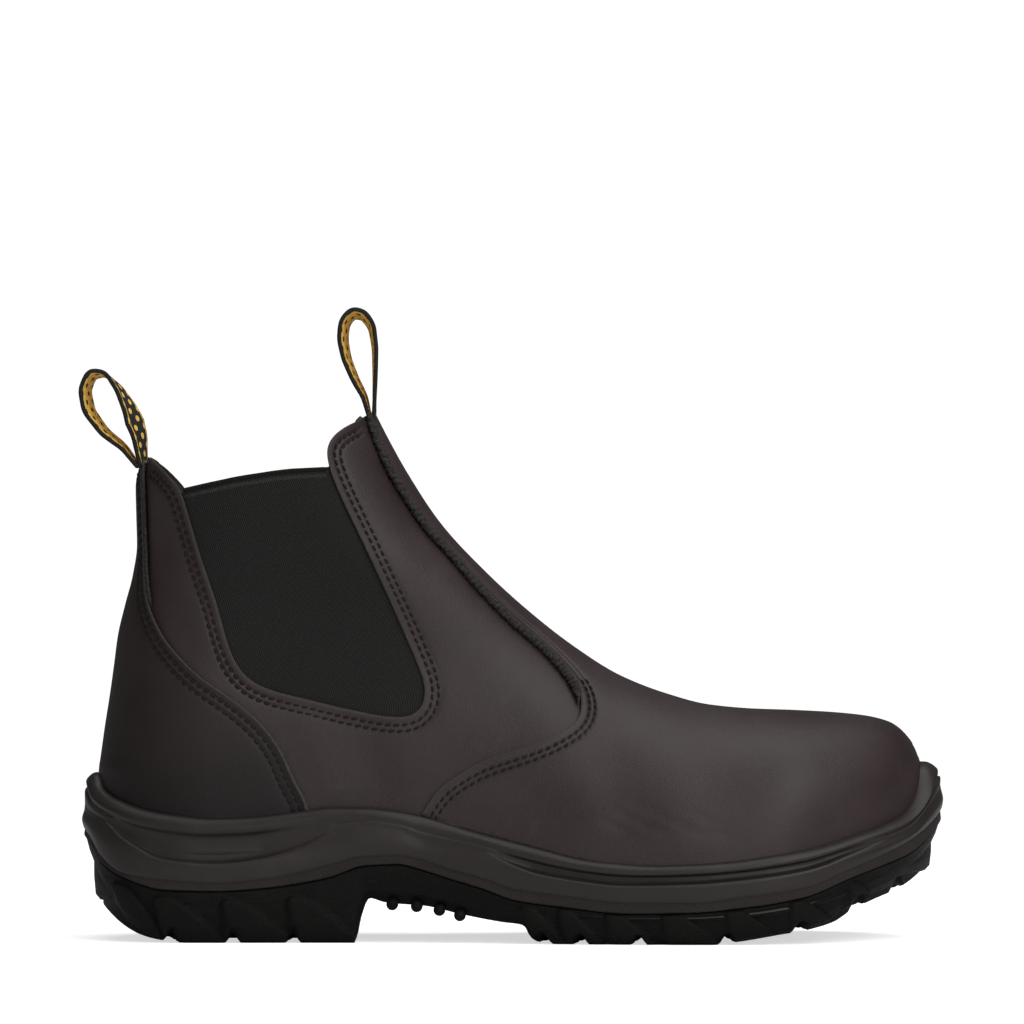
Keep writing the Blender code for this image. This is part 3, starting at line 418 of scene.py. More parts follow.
def sheet(name, columns, rows, place, materials, closed=False, masks=None):
    """A grid whose vertices are carried to place(u, v), which gives points and normals."""
    work = bmesh.new()
    work.loops.layers.uv.new("panel")
    bmesh.ops.create_grid(work, x_segments=columns, y_segments=rows, size=0.5, calc_uvs=True)
    flat = np.array([v.co[:2] for v in work.verts]) + 0.5
    points, normals = place(flat[:, 0], flat[:, 1])
    for vert, point in zip(work.verts, points):
        vert.co = point
    if masks is not None:
        for label, values in masks(flat[:, 0], flat[:, 1]).items():
            layer = work.verts.layers.float.new(label)
            for vert, value in zip(work.verts, values):
                vert[layer] = float(value)
    work.normal_update()
    if normals is None:
        inward = work.calc_volume(signed=True) < 0.0
    else:
        inward = sum(v.normal.dot(Vector(n)) for v, n in zip(work.verts, normals)) < 0.0
    if inward:
        bmesh.ops.reverse_faces(work, faces=work.faces)
    if closed:
        bmesh.ops.remove_doubles(work, verts=work.verts, dist=0.002 * MM)
    return into_object(work, name, materials)


def thicken(piece, thickness, rim_material=1, back_material=0):
    solid = piece.modifiers.new("thickness", "SOLIDIFY")
    solid.thickness = thickness
    solid.offset = -1.0
    solid.use_even_offset = False
    solid.material_offset_rim = rim_material
    solid.material_offset = back_material
    return piece


def frames_along(path, normals):
    tangent = units(np.gradient(path, axis=0))
    across = units(np.cross(normals, tangent))
    return across, units(np.cross(tangent, across))


def tube(name, path, normals, radius, materials, around=14, steps=None):
    """A cord: radius(share, turn) gives its outline, and both ends close in a point."""
    steps = steps or len(path) - 1
    across, up = frames_along(path, normals)
    at = np.linspace(0.0, 1.0, len(path))

    def place(u, v):
        turn = 2.0 * np.pi * u
        r = radius(v, turn) * np.minimum(1.0, np.sqrt(np.clip(np.minimum(v, 1.0 - v) * 60.0, 0.0, 1.0)))

        def pick(rows):
            return np.column_stack([np.interp(v, at, rows[:, k]) for k in range(3)])

        centre, a, b = pick(path), pick(across), pick(up)
        out = a * np.cos(turn)[:, None] + b * np.sin(turn)[:, None]
        return centre + out * r[:, None], out

    return sheet(name, around, steps, place, materials, closed=True)


def even_cord(radius):
    """The outline of a plain round cord."""
    return lambda share, turn: np.full_like(share, radius)


def dense(line, spacing=0.12 * MM):
    run = run_of(line)
    even = np.linspace(0.0, run[-1], int(run[-1] / spacing) + 2)
    return np.column_stack([np.interp(even, run, line[:, k]) for k in range(3)])


def tree_of(lines):
    points = np.concatenate([dense(line) for line in lines])
    tree = kdtree.KDTree(len(points))
    for i, point in enumerate(points):
        tree.insert(point, i)
    tree.balance()
    return tree


def distance_to(tree, points):
    return np.array([tree.find(p)[2] for p in points])


print("helpers ready: sheet, tube, thicken, distance to a line")


# %% [markdown]
# ## Finishes
# Grain and dust are node groups, so each finish can set its own scale; the weaves are built in their own
# materials. The leather is a
# smooth waxed hide: almost black brown, fine pores, a soft broad sheen, and paler raw edges
# where the panels are cut.


# %% Node helpers
def new_group(name, inputs, outputs):
    group = bpy.data.node_groups.new(name, "ShaderNodeTree")
    for label, kind, value in inputs:
        socket = group.interface.new_socket(label, in_out="INPUT", socket_type=kind)
        if value is not None:
            socket.default_value = value
    for label, kind in outputs:
        group.interface.new_socket(label, in_out="OUTPUT", socket_type=kind)
    return group, group.nodes.new("NodeGroupInput"), group.nodes.new("NodeGroupOutput")


def node(tree, kind, settings=None, **values):
    made = tree.nodes.new(kind)
    for key, value in (settings or {}).items():
        setattr(made, key, value)
    for key, value in values.items():
        made.inputs[key.replace("_", " ")].default_value = value
    return made


def maths(tree, operation, a, b=None, c=None):
    made = tree.nodes.new("ShaderNodeMath")
    made.operation = operation
    for i, value in enumerate((a, b, c)):
        if value is None:
            continue
        if isinstance(value, (int, float)):
            made.inputs[i].default_value = value
        else:
            tree.links.new(value, made.inputs[i])
    return made.outputs[0]


def spread(tree, value, low, high, to_low, to_high):
    made = tree.nodes.new("ShaderNodeMapRange")
    tree.links.new(value, made.inputs["Value"])
    made.inputs["From Min"].default_value = low
    made.inputs["From Max"].default_value = high
    made.inputs["To Min"].default_value = to_low
    made.inputs["To Max"].default_value = to_high
    return made.outputs["Result"]


def blend_colours(tree, share, first, second):
    made = tree.nodes.new("ShaderNodeMix")
    made.data_type = "RGBA"
    tree.links.new(share, made.inputs[0])
    for socket, value in ((made.inputs[6], first), (made.inputs[7], second)):
        if isinstance(value, tuple):
            socket.default_value = (*value, 1.0)
        else:
            tree.links.new(value, socket)
    return made.outputs[2]


def noise_at(tree, place, scale, detail=3.0, rough=0.55):
    made = node(tree, "ShaderNodeTexNoise", Scale=scale, Detail=detail, Roughness=rough)
    tree.links.new(place, made.inputs["Vector"])
    return made.outputs["Fac"]


FLOAT, VECTOR = "NodeSocketFloat", "NodeSocketVector"
print("sockets", FLOAT, VECTOR)

# %% Hide: pores, mottling and scuffs
hide, hide_in, hide_out = new_group(
    "hide", [("Place", VECTOR, None), ("Pore Scale", FLOAT, 1500.0), ("Mottle Scale", FLOAT, 28.0)],
    [("Height", FLOAT), ("Mottle", FLOAT), ("Scuff", FLOAT)])
pores = node(hide, "ShaderNodeTexVoronoi", {"feature": "SMOOTH_F1"}, Smoothness=0.6)
hide.links.new(hide_in.outputs["Place"], pores.inputs["Vector"])
hide.links.new(hide_in.outputs["Pore Scale"], pores.inputs["Scale"])
fine = noise_at(hide, hide_in.outputs["Place"], 2600.0, 2.0)
wide = noise_at(hide, hide_in.outputs["Place"], 210.0, 3.0)
low = maths(hide, "MULTIPLY", pores.outputs["Distance"], 0.5)
low = maths(hide, "MULTIPLY_ADD", fine, 0.35, low)
hide.links.new(maths(hide, "MULTIPLY_ADD", wide, 0.8, low), hide_out.inputs["Height"])
mottle = node(hide, "ShaderNodeTexNoise", Detail=4.0, Roughness=0.6)
hide.links.new(hide_in.outputs["Place"], mottle.inputs["Vector"])
hide.links.new(hide_in.outputs["Mottle Scale"], mottle.inputs["Scale"])
hide.links.new(spread(hide, mottle.outputs["Fac"], 0.35, 0.68, 0.0, 1.0), hide_out.inputs["Mottle"])
patch = noise_at(hide, hide_in.outputs["Place"], 75.0, 5.0, 0.7)
hide.links.new(spread(hide, patch, 0.60, 0.78, 0.0, 1.0), hide_out.inputs["Scuff"])
print("hide nodes", len(hide.nodes))

# %% Rough moulded skin for foam and rubber
mould, mould_in, mould_out = new_group(
    "moulded_skin", [("Place", VECTOR, None), ("Grain Scale", FLOAT, 1300.0)],
    [("Height", FLOAT), ("Dust", FLOAT)])
speck = node(mould, "ShaderNodeTexNoise", Detail=3.0, Roughness=0.7)
mould.links.new(mould_in.outputs["Place"], speck.inputs["Vector"])
mould.links.new(mould_in.outputs["Grain Scale"], speck.inputs["Scale"])
mould.links.new(speck.outputs["Fac"], mould_out.inputs["Height"])
dust = noise_at(mould, mould_in.outputs["Place"], 60.0, 5.0, 0.65)
mould.links.new(spread(mould, dust, 0.45, 0.75, 0.0, 1.0), mould_out.inputs["Dust"])
print("moulded skin nodes", len(mould.nodes))


# %% Materials made from the groups
def start_material(name, roughness, specular=0.5):
    made = bpy.data.materials.new(name)
    made.use_nodes = True
    tree = made.node_tree
    shader = tree.nodes["Principled BSDF"]
    shader.inputs["Roughness"].default_value = roughness
    shader.inputs["Specular IOR Level"].default_value = specular
    place = tree.nodes.new("ShaderNodeTexCoord").outputs["Object"]
    return made, tree, shader, place


def bump(tree, shader, height, depth, strength=1.0):
    made = tree.nodes.new("ShaderNodeBump")
    made.inputs["Strength"].default_value = strength
    made.inputs["Distance"].default_value = depth
    tree.links.new(height, made.inputs["Height"])
    tree.links.new(made.outputs["Normal"], shader.inputs["Normal"])


def use_group(tree, group, place, **values):
    made = tree.nodes.new("ShaderNodeGroup")
    made.node_tree = group
    tree.links.new(place, made.inputs["Place"])
    for key, value in values.items():
        made.inputs[key.replace("_", " ")].default_value = value
    return made


PORE_DEPTH = 0.12 * MM
# heights over which the painted shade towards the sole fades out
SHADE_FROM, SHADE_TO = 46.0 * MM, 80.0 * MM


def leather(name, dark, light, roughness, low_shade=1.0, shine=0.30):
    """Waxed hide; low_shade paints shade on it: the colour darkens towards the sole."""
    made, tree, shader, place = start_material(name, roughness, shine)
    skin_nodes = use_group(tree, hide, place)
    colour = blend_colours(tree, skin_nodes.outputs["Mottle"], dark, light)
    worn = maths(tree, "MULTIPLY", skin_nodes.outputs["Scuff"], 0.22)
    colour = blend_colours(tree, worn, colour, tuple(min(1.0, c * 2.4) for c in light))
    if low_shade < 1.0:
        split = tree.nodes.new("ShaderNodeSeparateXYZ")
        tree.links.new(place, split.inputs["Vector"])
        # painted shade: the colour darkens towards the sole, below the heights above
        painted_shade = spread(tree, split.outputs["Z"], SHADE_FROM, SHADE_TO, 1.0, 0.0)
        colour = blend_colours(tree, painted_shade, colour, tuple(c * low_shade for c in dark))
    tree.links.new(colour, shader.inputs["Base Color"])
    rough = spread(tree, skin_nodes.outputs["Mottle"], 0.0, 1.0, roughness - 0.05, roughness + 0.06)
    tree.links.new(rough, shader.inputs["Roughness"])
    bump(tree, shader, skin_nodes.outputs["Height"], PORE_DEPTH)
    return made


def moulded(name, dark, dusty, roughness, scale, depth, mask=None, shine=0.26):
    """Moulded foam or rubber; mask names the vertex values that say where its grain is deep."""
    made, tree, shader, place = start_material(name, roughness, shine)
    skin_nodes = use_group(tree, mould, place, Grain_Scale=scale)
    share = maths(tree, "MULTIPLY", skin_nodes.outputs["Dust"], 0.5)
    tree.links.new(blend_colours(tree, share, dark, dusty), shader.inputs["Base Color"])
    height = skin_nodes.outputs["Height"]
    if mask:
        area = tree.nodes.new("ShaderNodeAttribute")
        area.attribute_name = mask
        height = maths(tree, "MULTIPLY", height, spread(tree, area.outputs["Fac"], 0.0, 1.0, 0.10, 1.0))
        tree.links.new(spread(tree, area.outputs["Fac"], 0.0, 1.0, roughness, 0.8),
                       shader.inputs["Roughness"])
    bump(tree, shader, height, depth)
    return made


def plain_fibre(name, dark, light, roughness, scale, depth):
    """Thread, cord, cloth or a raw edge: fine noise in two colours."""
    made, tree, shader, place = start_material(name, roughness, 0.2)
    fibre = noise_at(tree, place, scale, 3.0)
    tree.links.new(blend_colours(tree, spread(tree, fibre, 0.3, 0.7, 0.0, 1.0), dark, light),
                   shader.inputs["Base Color"])
    bump(tree, shader, fibre, depth)
    return made


# %% The boot's finishes
HIDE_DARK, HIDE_LIGHT = (0.0185, 0.0108, 0.0110), (0.0265, 0.0160, 0.0162)
quarter_leather = leather("quarter_leather", HIDE_DARK, HIDE_LIGHT, 0.54)
vamp_leather = leather("vamp_leather", HIDE_DARK, HIDE_LIGHT, 0.53)
# painted shade: the counter's hide is painted darker than the quarter's, and low_shade darkens it more
# towards the sole
counter_leather = leather("counter_leather", (0.0120, 0.0082, 0.0074), (0.0175, 0.0122, 0.0112), 0.56,
                          low_shade=0.30, shine=0.22)
cut_edge = plain_fibre("cut_edge", (0.075, 0.070, 0.055), (0.145, 0.135, 0.110), 0.85, 1800.0, 0.0001)
worn_edge = plain_fibre("worn_edge", (0.026, 0.022, 0.018), (0.050, 0.045, 0.036), 0.8, 1800.0, 0.0001)
overlock_thread = plain_fibre("overlock_thread", (0.020, 0.017, 0.015), (0.060, 0.052, 0.045), 0.8,
                              2500.0, 0.00008)
# painted shade: the thread is dark brown, and is painted darker than the hide for the shade along the
# stitches
thread = plain_fibre("thread", (0.0030, 0.0024, 0.0022), (0.0085, 0.0065, 0.0060), 0.66, 2500.0, 0.00008)
bead_cord = plain_fibre("bead_cord", (0.009, 0.0082, 0.0075), (0.038, 0.034, 0.030), 0.8, 1500.0, 0.00040)
lining_cloth = plain_fibre("lining_cloth", (0.012, 0.012, 0.012), (0.028, 0.028, 0.028), 0.9, 900.0, 0.0003)
footbed_cloth = plain_fibre("footbed_cloth", (0.018, 0.018, 0.019), (0.04, 0.04, 0.042), 0.92,
                            700.0, 0.0004)
foam = moulded("midsole_foam", (0.0140, 0.0110, 0.0101), (0.0230, 0.0185, 0.0170), 0.44, 1100.0,
               0.00060, "rough_band")
rubber = moulded("outsole_rubber", (0.0022, 0.0019, 0.0016), (0.0060, 0.0053, 0.0045), 0.62, 850.0,
                 0.00055, shine=0.12)
print("finishes", sorted(m.name for m in bpy.data.materials))


# %% [markdown]
# Elastic and webbing are woven, so their patterns follow the piece's own UV map: u runs
# across the piece and v along it.


# %% Woven finishes
def uv_parts(tree):
    uv = tree.nodes.new("ShaderNodeUVMap")
    uv.uv_map = "panel"
    split = tree.nodes.new("ShaderNodeSeparateXYZ")
    tree.links.new(uv.outputs["UV"], split.inputs["Vector"])
    return split.outputs["X"], split.outputs["Y"]


def wave(tree, value, count, offset=0.0):
    """0 to 1 and back, count times over the piece."""
    turned = maths(tree, "MULTIPLY_ADD", value, count * 2.0 * math.pi, offset)
    return maths(tree, "MULTIPLY_ADD", maths(tree, "SINE", turned), 0.5, 0.5)


def elastic_cloth():
    made, tree, shader, place = start_material("elastic", 0.85, 0.18)
    across, along = uv_parts(tree)
    weft = wave(tree, along, 150.0)
    warp = wave(tree, across, 84.0)
    fuzz = noise_at(tree, place, 1500.0, 3.0)
    height = maths(tree, "MULTIPLY_ADD", weft, 0.35, maths(tree, "MULTIPLY", fuzz, 0.5))
    height = maths(tree, "ADD", height, warp)
    shade = maths(tree, "MULTIPLY_ADD", warp, 0.45, maths(tree, "MULTIPLY", fuzz, 0.55))
    tree.links.new(blend_colours(tree, shade, (0.0060, 0.0058, 0.0055), (0.0190, 0.0182, 0.0172)),
                   shader.inputs["Base Color"])
    bump(tree, shader, height, 0.00016)
    return made


def webbing(name, gold_share, repeats):
    """Black and gold twill: mostly gold with dashes, or black with gold dots."""
    made, tree, shader, place = start_material(name, 0.75, 0.25)
    across, along = uv_parts(tree)
    slant = maths(tree, "MULTIPLY_ADD", across, 1.6, maths(tree, "MULTIPLY", along, repeats))
    dash = wave(tree, slant, 1.0)
    back = maths(tree, "MULTIPLY_ADD", across, -1.6, maths(tree, "MULTIPLY", along, repeats))
    zig = wave(tree, back, 1.0)
    mark = maths(tree, "MULTIPLY", dash, zig)
    edge = maths(tree, "ABSOLUTE", maths(tree, "SUBTRACT", across, 0.5))
    border = spread(tree, edge, 0.40, 0.44, 0.0, 1.0)
    if gold_share > 0.5:
        gold = spread(tree, mark, 0.55, 0.62, 1.0, 0.0)
        gold = maths(tree, "MULTIPLY", gold, spread(tree, edge, 0.475, 0.485, 1.0, 0.0))
    else:
        gold = maths(tree, "MAXIMUM", spread(tree, mark, 0.48, 0.56, 0.0, 1.0),
                     maths(tree, "MULTIPLY", border, spread(tree, edge, 0.46, 0.47, 1.0, 0.0)))
    ribs = maths(tree, "MULTIPLY_ADD", across, 14.0, maths(tree, "MULTIPLY", along, 110.0))
    twill = wave(tree, ribs, 1.0)
    shade = maths(tree, "MULTIPLY_ADD", twill, 0.6, 0.4)
    yellow = blend_colours(tree, shade, (0.46, 0.27, 0.040), (0.95, 0.62, 0.110))
    black = blend_colours(tree, shade, (0.0055, 0.0052, 0.0050), (0.016, 0.0155, 0.0150))
    tree.links.new(blend_colours(tree, gold, black, yellow), shader.inputs["Base Color"])
    bump(tree, shader, twill, 0.00014)
    return made


elastic = elastic_cloth()
web_inside = webbing("webbing_inside", 0.8, 13.0)
web_outside = webbing("webbing_outside", 0.2, 13.0)
web_edge = plain_fibre("webbing_edge", (0.006, 0.006, 0.006), (0.018, 0.017, 0.016), 0.85,
                       2000.0, 0.0001)
print("woven", elastic.name, web_inside.name, web_outside.name)

# %% [markdown]
# ## Seams
# The seams are lines on the last. A row of stitches lies a few millimetres inside a cut edge,
# so it is stepped off across the surface and then settled back onto it.

# %% Seam lines on the surface
def settle(points, t, angle, rounds=6, step=0.004):
    """The surface coordinates nearest to some points, from a first guess."""
    t, angle = t.copy(), angle.copy()
    for _ in range(rounds):
        here = last(t, angle)
        above = np.minimum(t + step, 1.0)
        by_t = (last(above, angle) - last(t - step, angle)) / (above - (t - step))[:, None]
        by_a = (last(t, angle + 0.01) - last(t, angle - 0.01)) / 0.02
        miss = points - here
        aa, bb = (by_t ** 2).sum(1), (by_a ** 2).sum(1)
        ab = (by_t * by_a).sum(1)
        ra, rb = (by_t * miss).sum(1), (by_a * miss).sum(1)
        det = np.maximum(aa * bb - ab ** 2, 1e-12)
        t = np.clip(t + (ra * bb - rb * ab) / det, -0.3, 1.0)
        angle = angle + (rb * aa - ra * ab) / det
    return t, angle


SEAM_LEVELS = np.linspace(0.0, 1.0, 401)


def steady(values, reach=9):
    """Each value becomes the middle one of its neighbours, which drops a ring that met no seam."""
    padded = np.pad(values, reach, mode="edge")
    return np.median(np.lib.stride_tricks.sliding_window_view(padded, 2 * reach + 1), axis=1)


SEAMS = {
    "vamp": smooth_rows(steady(seam_angle(VAMP_SEAM, SEAM_LEVELS, True)), 30),
    "counter": smooth_rows(steady(seam_angle(COUNTER_SEAM, SEAM_LEVELS, False)), 30),
}
print("seam reach at the collar", [round(float(s[-1]), 3) for s in SEAMS.values()])


def seam_line(name, side, first=0.0, count=400):
    t = np.linspace(first, 1.0, count)
    return t, np.interp(t, SEAM_LEVELS, SEAMS[name]) * (1.0 if side < 0 else -1.0)


def beside(t, angle, offset, side):
    """A line on the surface, offset across it from another line, towards +offset of its run."""
    points = last(t, angle)
    normal = last_normal(t, angle)
    tangent = units(np.gradient(points, axis=0))
    across = units(np.cross(normal, tangent)) * side
    return settle(points + across * offset, t, angle)


QUARTER_EDGE = np.array((
    (-42.3, 172.6), (-39.9, 171.2), (-37.0, 169.8), (-33.8, 167.3), (-29.9, 163.0), (-26.7, 159.1),
    (-24.6, 152.3), (-22.4, 145.2), (-19.6, 136.3), (-16.4, 127.8), (-13.2, 119.6), (-10.3, 109.6),
    (-7.8, 101.8), (-4.3, 95.4), (0.7, 91.1), (8.2, 88.3), (18.9, 85.8), (30.6, 82.9), (44.1, 80.1),
    (52.0, 79.4), (56.6, 80.1), (59.4, 82.9), (60.9, 87.2), (60.1, 93.2), (56.2, 102.5), (49.5, 117.4),
    (44.8, 128.1), (39.5, 140.6), (33.1, 154.1), (29.2, 163.0), (27.4, 168.3), (26.3, 173.7),
    (27.8, 177.9), (31.0, 180.8), (34.9, 183.3), (39.1, 185.1), (42.0, 187.5),
)) * MM
edge_line = resample(QUARTER_EDGE[1:-1], 420, 20)
print("free edge of the quarter", round(length_of(edge_line) / MM), "mm")


def shift_line(line, amount):
    """Moves a side view line to its right hand side."""
    run = units(np.gradient(line, axis=0))
    return line + np.stack((-run[:, 1], run[:, 0]), axis=1) * -amount


rows_of_stitches = []
STITCH_PITCH = 3.0 * MM
STRIP_SEWN_FROM = 95.0 * MM  # above it the cord hides the rows
seam_points = {"vamp": [], "counter": [], "quarter": []}
edge_points = {"vamp": [], "counter": [], "quarter": []}
for side in (-1.0, 1.0):
    t, angle = seam_line("vamp", side)
    edge_points["vamp"].append(last(t, angle))
    for offset in (3.2 * MM, 5.2 * MM):
        st, sa = beside(t, angle, offset, side)
        st, sa = smooth_rows(st), smooth_rows(sa)
        points, normals = skin(st, sa)
        seam_points["vamp"].append(points)
        low = points[:, 2] < STRIP_SEWN_FROM
        rows_of_stitches.append((points[low], normals[low], STITCH_PITCH))
    t, angle = seam_line("counter", side)
    edge_points["counter"].append(last(t, angle))
    for offset in (2.8 * MM, 5.4 * MM):
        st, sa = beside(t, angle, offset, -side)
        st, sa = smooth_rows(st), smooth_rows(sa)
        points, normals = skin(st, sa)
        seam_points["counter"].append(points)
        rows_of_stitches.append((points, normals, STITCH_PITCH))
    edge_points["quarter"].append(side_skin(edge_line[:, 0], edge_line[:, 1], side, UPPER_OUT)[0])
    for offset in (2.9 * MM, 5.0 * MM):
        line = shift_line(edge_line, offset)[6:-2]
        points, normals = side_skin(line[:, 0], line[:, 1], side, UPPER_OUT)
        seam_points["quarter"].append(points)
        rows_of_stitches.append((points, normals, STITCH_PITCH))
print("stitch rows", len(rows_of_stitches))

# %% [markdown]
# ## Creases
# The boot is nearly new: broad soft hollows where the foot bends, and a few fine wrinkles just
# above the sole. A cloth run would give folds, but not these ones, and bump alone would vanish in
# the outline. So each crease is listed as a line in the side view, with its own width and
# depth, and pushes the leather in or out along its normal.

# %% Troughs and ridges, listed one by one
# from x, from z, to x, to z, half width, height, all in mm; minus sinks
SOFT_FOLDS = (
    (118.0, 78.0, 132.0, 44.0, 9.0, -0.55),
    (138.0, 74.0, 150.0, 40.0, 10.0, 0.35),
    (158.0, 70.0, 166.0, 40.0, 9.0, -0.30),
    (84.0, 58.0, 106.0, 50.0, 8.0, -0.35),
    (40.0, 70.0, 46.0, 52.0, 9.0, -0.55),
    (20.0, 76.0, 26.0, 56.0, 8.0, 0.35),
    (60.0, 100.0, 92.0, 76.0, 8.0, -0.30),
    (74.0, 118.0, 98.0, 92.0, 10.0, 0.30),
    (-18.0, 128.0, -30.0, 150.0, 6.0, -0.30),
    (-12.0, 96.0, -28.0, 112.0, 6.0, -0.35),
    (-30.0, 76.0, -8.0, 62.0, 9.0, 0.25),
    (46.0, 166.0, 62.0, 132.0, 5.0, -0.20),
    (196.0, 72.0, 214.0, 56.0, 10.0, -0.25),
    (124.0, 43.0, 131.0, 40.0, 1.6, -0.22),
    (129.0, 46.5, 138.0, 42.0, 1.4, -0.20),
    (134.0, 49.5, 142.5, 46.0, 1.5, -0.16),
    (137.0, 41.5, 146.0, 39.0, 1.5, -0.20),
    (144.0, 44.5, 153.0, 42.0, 1.4, -0.20),
    (149.0, 41.0, 158.0, 38.5, 1.6, -0.22),
    (154.0, 46.0, 163.0, 42.5, 1.5, -0.16),
    (158.0, 40.5, 166.0, 38.5, 1.4, -0.18),
)


def fold_height(points):
    x, z = points[:, 0] / MM, points[:, 2] / MM
    total = np.zeros(len(points))
    for x0, z0, x1, z1, width, height in SOFT_FOLDS:
        run = (x1 - x0) ** 2 + (z1 - z0) ** 2
        share = np.clip(((x - x0) * (x1 - x0) + (z - z0) * (z1 - z0)) / run, 0.0, 1.0)
        gap = np.hypot(x - mix(x0, x1, share), z - mix(z0, z1, share))
        total += height * np.exp(-(gap / width) ** 2)
    return total * MM


# depth and half width of the pull of a stitch row on its line, and on the leather beside it
SEAM_PULLS = ((0.40 * MM, 0.7 * MM), (0.18 * MM, 3.0 * MM))
EDGE_ROLL = 0.9 * MM
EDGE_DROP = 0.35 * MM


def dress(points, normals, name):
    """Creases, the dip along each stitch row and the rolled edge, pushed along the normals."""
    height = fold_height(points)
    gap = distance_to(tree_of(seam_points[name]), points)
    for depth, width in SEAM_PULLS:
        height -= depth * np.exp(-(gap / width) ** 2)
    near = np.clip(distance_to(tree_of(edge_points[name]), points) / EDGE_ROLL, 0.0, 1.0)
    height -= EDGE_DROP * (1.0 - np.sqrt(1.0 - (1.0 - near) ** 2))
    return points + normals * height[:, None]


print("creases placed by hand", len(SOFT_FOLDS))


# %% [markdown]
# ## Panels
# The vamp covers the toe and runs up the front as a strip, and the counter wraps the heel and
# runs up the back. Both lie over the quarters, so their raw edges show as thin pale lines. A
# Boolean could cut them out of one skin, but its edge would be ragged. Here a grid runs from seam
# to seam, with its columns crowded at both edges, and the solidify modifier gives the hide its
# thickness.


# %% Vamp and counter
# how far the first columns lie from a cut edge, so that its roll is smooth
EDGE_STEPS = np.array((0.0, 0.15, 0.35, 0.6, 0.95, 1.5)) * MM
LAST_STEP = len(EDGE_STEPS) - 1
WORN_STEPS = 4.0
WRAP_COLUMNS = 180
BELOW_LIP = -0.22


def graded(u, width):
    """Columns crowded towards both edges of a row that is width metres wide; gives -1 to 1."""
    half_columns = WRAP_COLUMNS / 2.0
    index = (1.0 - np.abs(u - 0.5) * 2.0) * half_columns
    near = np.interp(index, np.arange(LAST_STEP + 1), EDGE_STEPS)
    share = np.clip((index - LAST_STEP) / (half_columns - LAST_STEP), 0.0, 1.0)
    far = mix(EDGE_STEPS[-1], width / 2.0, share)
    distance = np.where(index < LAST_STEP, near, far)
    return np.sign(u - 0.5) * (1.0 - distance / (width / 2.0))


def wrap(name, from_front, first):
    """Places a panel that wraps round the front or the back, from seam to seam."""
    def place(u, v):
        levels, row = np.unique(np.round(v, 7), return_inverse=True)
        t = mix(first, 1.0, levels)
        reach = np.interp(t, SEAM_LEVELS, SEAMS[name])
        if not from_front:
            reach = np.pi - reach
        middle = 0.0 if from_front else np.pi
        strip = np.linspace(-1.0, 1.0, 241)
        lines = last(t[:, None], middle + reach[:, None] * strip[None, :])
        run = np.cumsum(np.linalg.norm(np.diff(lines, axis=1), axis=2), axis=1)
        run = np.concatenate((np.zeros((len(t), 1)), run), axis=1)
        wanted = (graded(u, run[row, -1]) + 1.0) / 2.0 * run[row, -1]
        share = np.empty(len(u))
        for k in range(len(t)):
            here = row == k
            share[here] = np.interp(wanted[here], run[k], strip)
        points, normals = skin(t[row], middle + reach[row] * share)
        return dress(points, normals, name), normals
    return place


def wear_edges(piece, inset):
    """The faces whose middle inset(uv) accepts show the pale flesh of a bevelled cut edge."""
    piece.data.materials.append(worn_edge)
    corners = piece.data.uv_layers["panel"].data
    for face in piece.data.polygons:
        if inset(np.mean([corners[k].uv[:] for k in face.loop_indices], axis=0)):
            face.material_index = 2


def overlay(name, seam, from_front, rows, hide_finish):
    piece = sheet(name, WRAP_COLUMNS, rows, wrap(seam, from_front, BELOW_LIP), [hide_finish, cut_edge])
    wear_edges(piece, lambda uv: min(uv[0], 1.0 - uv[0]) < WORN_STEPS / WRAP_COLUMNS)
    print(name, "faces", len(piece.data.polygons))
    return thicken(piece, OVERLAY)


vamp = overlay("vamp_panel", "vamp", True, 200, vamp_leather)
finish_piece(vamp, ["vamp"])
counter = overlay("counter_panel", "counter", False, 120, counter_leather)
finish_piece(counter, ["counter"])

# %% [markdown]
# A quarter is a C of leather round the elastic. A square grid with a hole would need trimming.
# This grid runs along the free edge, from the rear tab down, round under the window and up to the
# front tab, so the cut edge is one clean line of vertices. Pairs of places along the free and the
# hidden edge keep its columns from crossing.

# %% Quarters
QUARTER_THICK = 1.3 * MM
LIP_FRONT, LIP_BACK = FRONT_CURVE[0][1], BACK_CURVE[0][1]


def lip_at(x):
    return lip_z((LIP_FRONT - x) / (LIP_FRONT - LIP_BACK))


def under_line():
    """The quarter's hidden outer edge: under the counter, inside the lip, under the vamp."""
    up = np.linspace(170.5, 56.0, 60) * MM
    rear = np.maximum(to_x(table(COUNTER_SEAM, 1, up / COLLAR_HEIGHT)) - 6.0 * MM, back_x(up) + 1.0 * MM)
    low_x = np.linspace(rear[-1], 60.0 * MM, 60)
    low_z = lip_at(low_x) - 3.0 * MM
    up_front = np.linspace(50.0, 186.9, 120) * MM
    fore = np.minimum(to_x(table(VAMP_SEAM, 1, up_front / COLLAR_HEIGHT)) + 6.0 * MM,
                      front_x(up_front) - 1.0 * MM)
    x = np.concatenate((rear, low_x[1:], fore[1:]))
    z = np.concatenate((up, low_z[1:], up_front[1:]))
    return np.stack((x, z), axis=1)


outer_line = under_line()


def at_length(line, share):
    run = run_of(line)
    return np.column_stack([np.interp(share * run[-1], run, line[:, k]) for k in range(2)])


# share of the free edge, share of the hidden edge
PAIRS = ((0.0, 0.0), (0.05, 0.03), (0.30, 0.22), (0.345, 0.27), (0.40, 0.36), (0.54, 0.50),
         (0.57, 0.56), (0.585, 0.61), (0.61, 0.67), (0.64, 0.715), (0.70, 0.76), (0.885, 0.93),
         (0.925, 0.965), (1.0, 1.0))


QUARTER_ROWS = 44
NARROWEST = 3.0 * MM
OUTLINE_CLEAR = 0.9 * MM


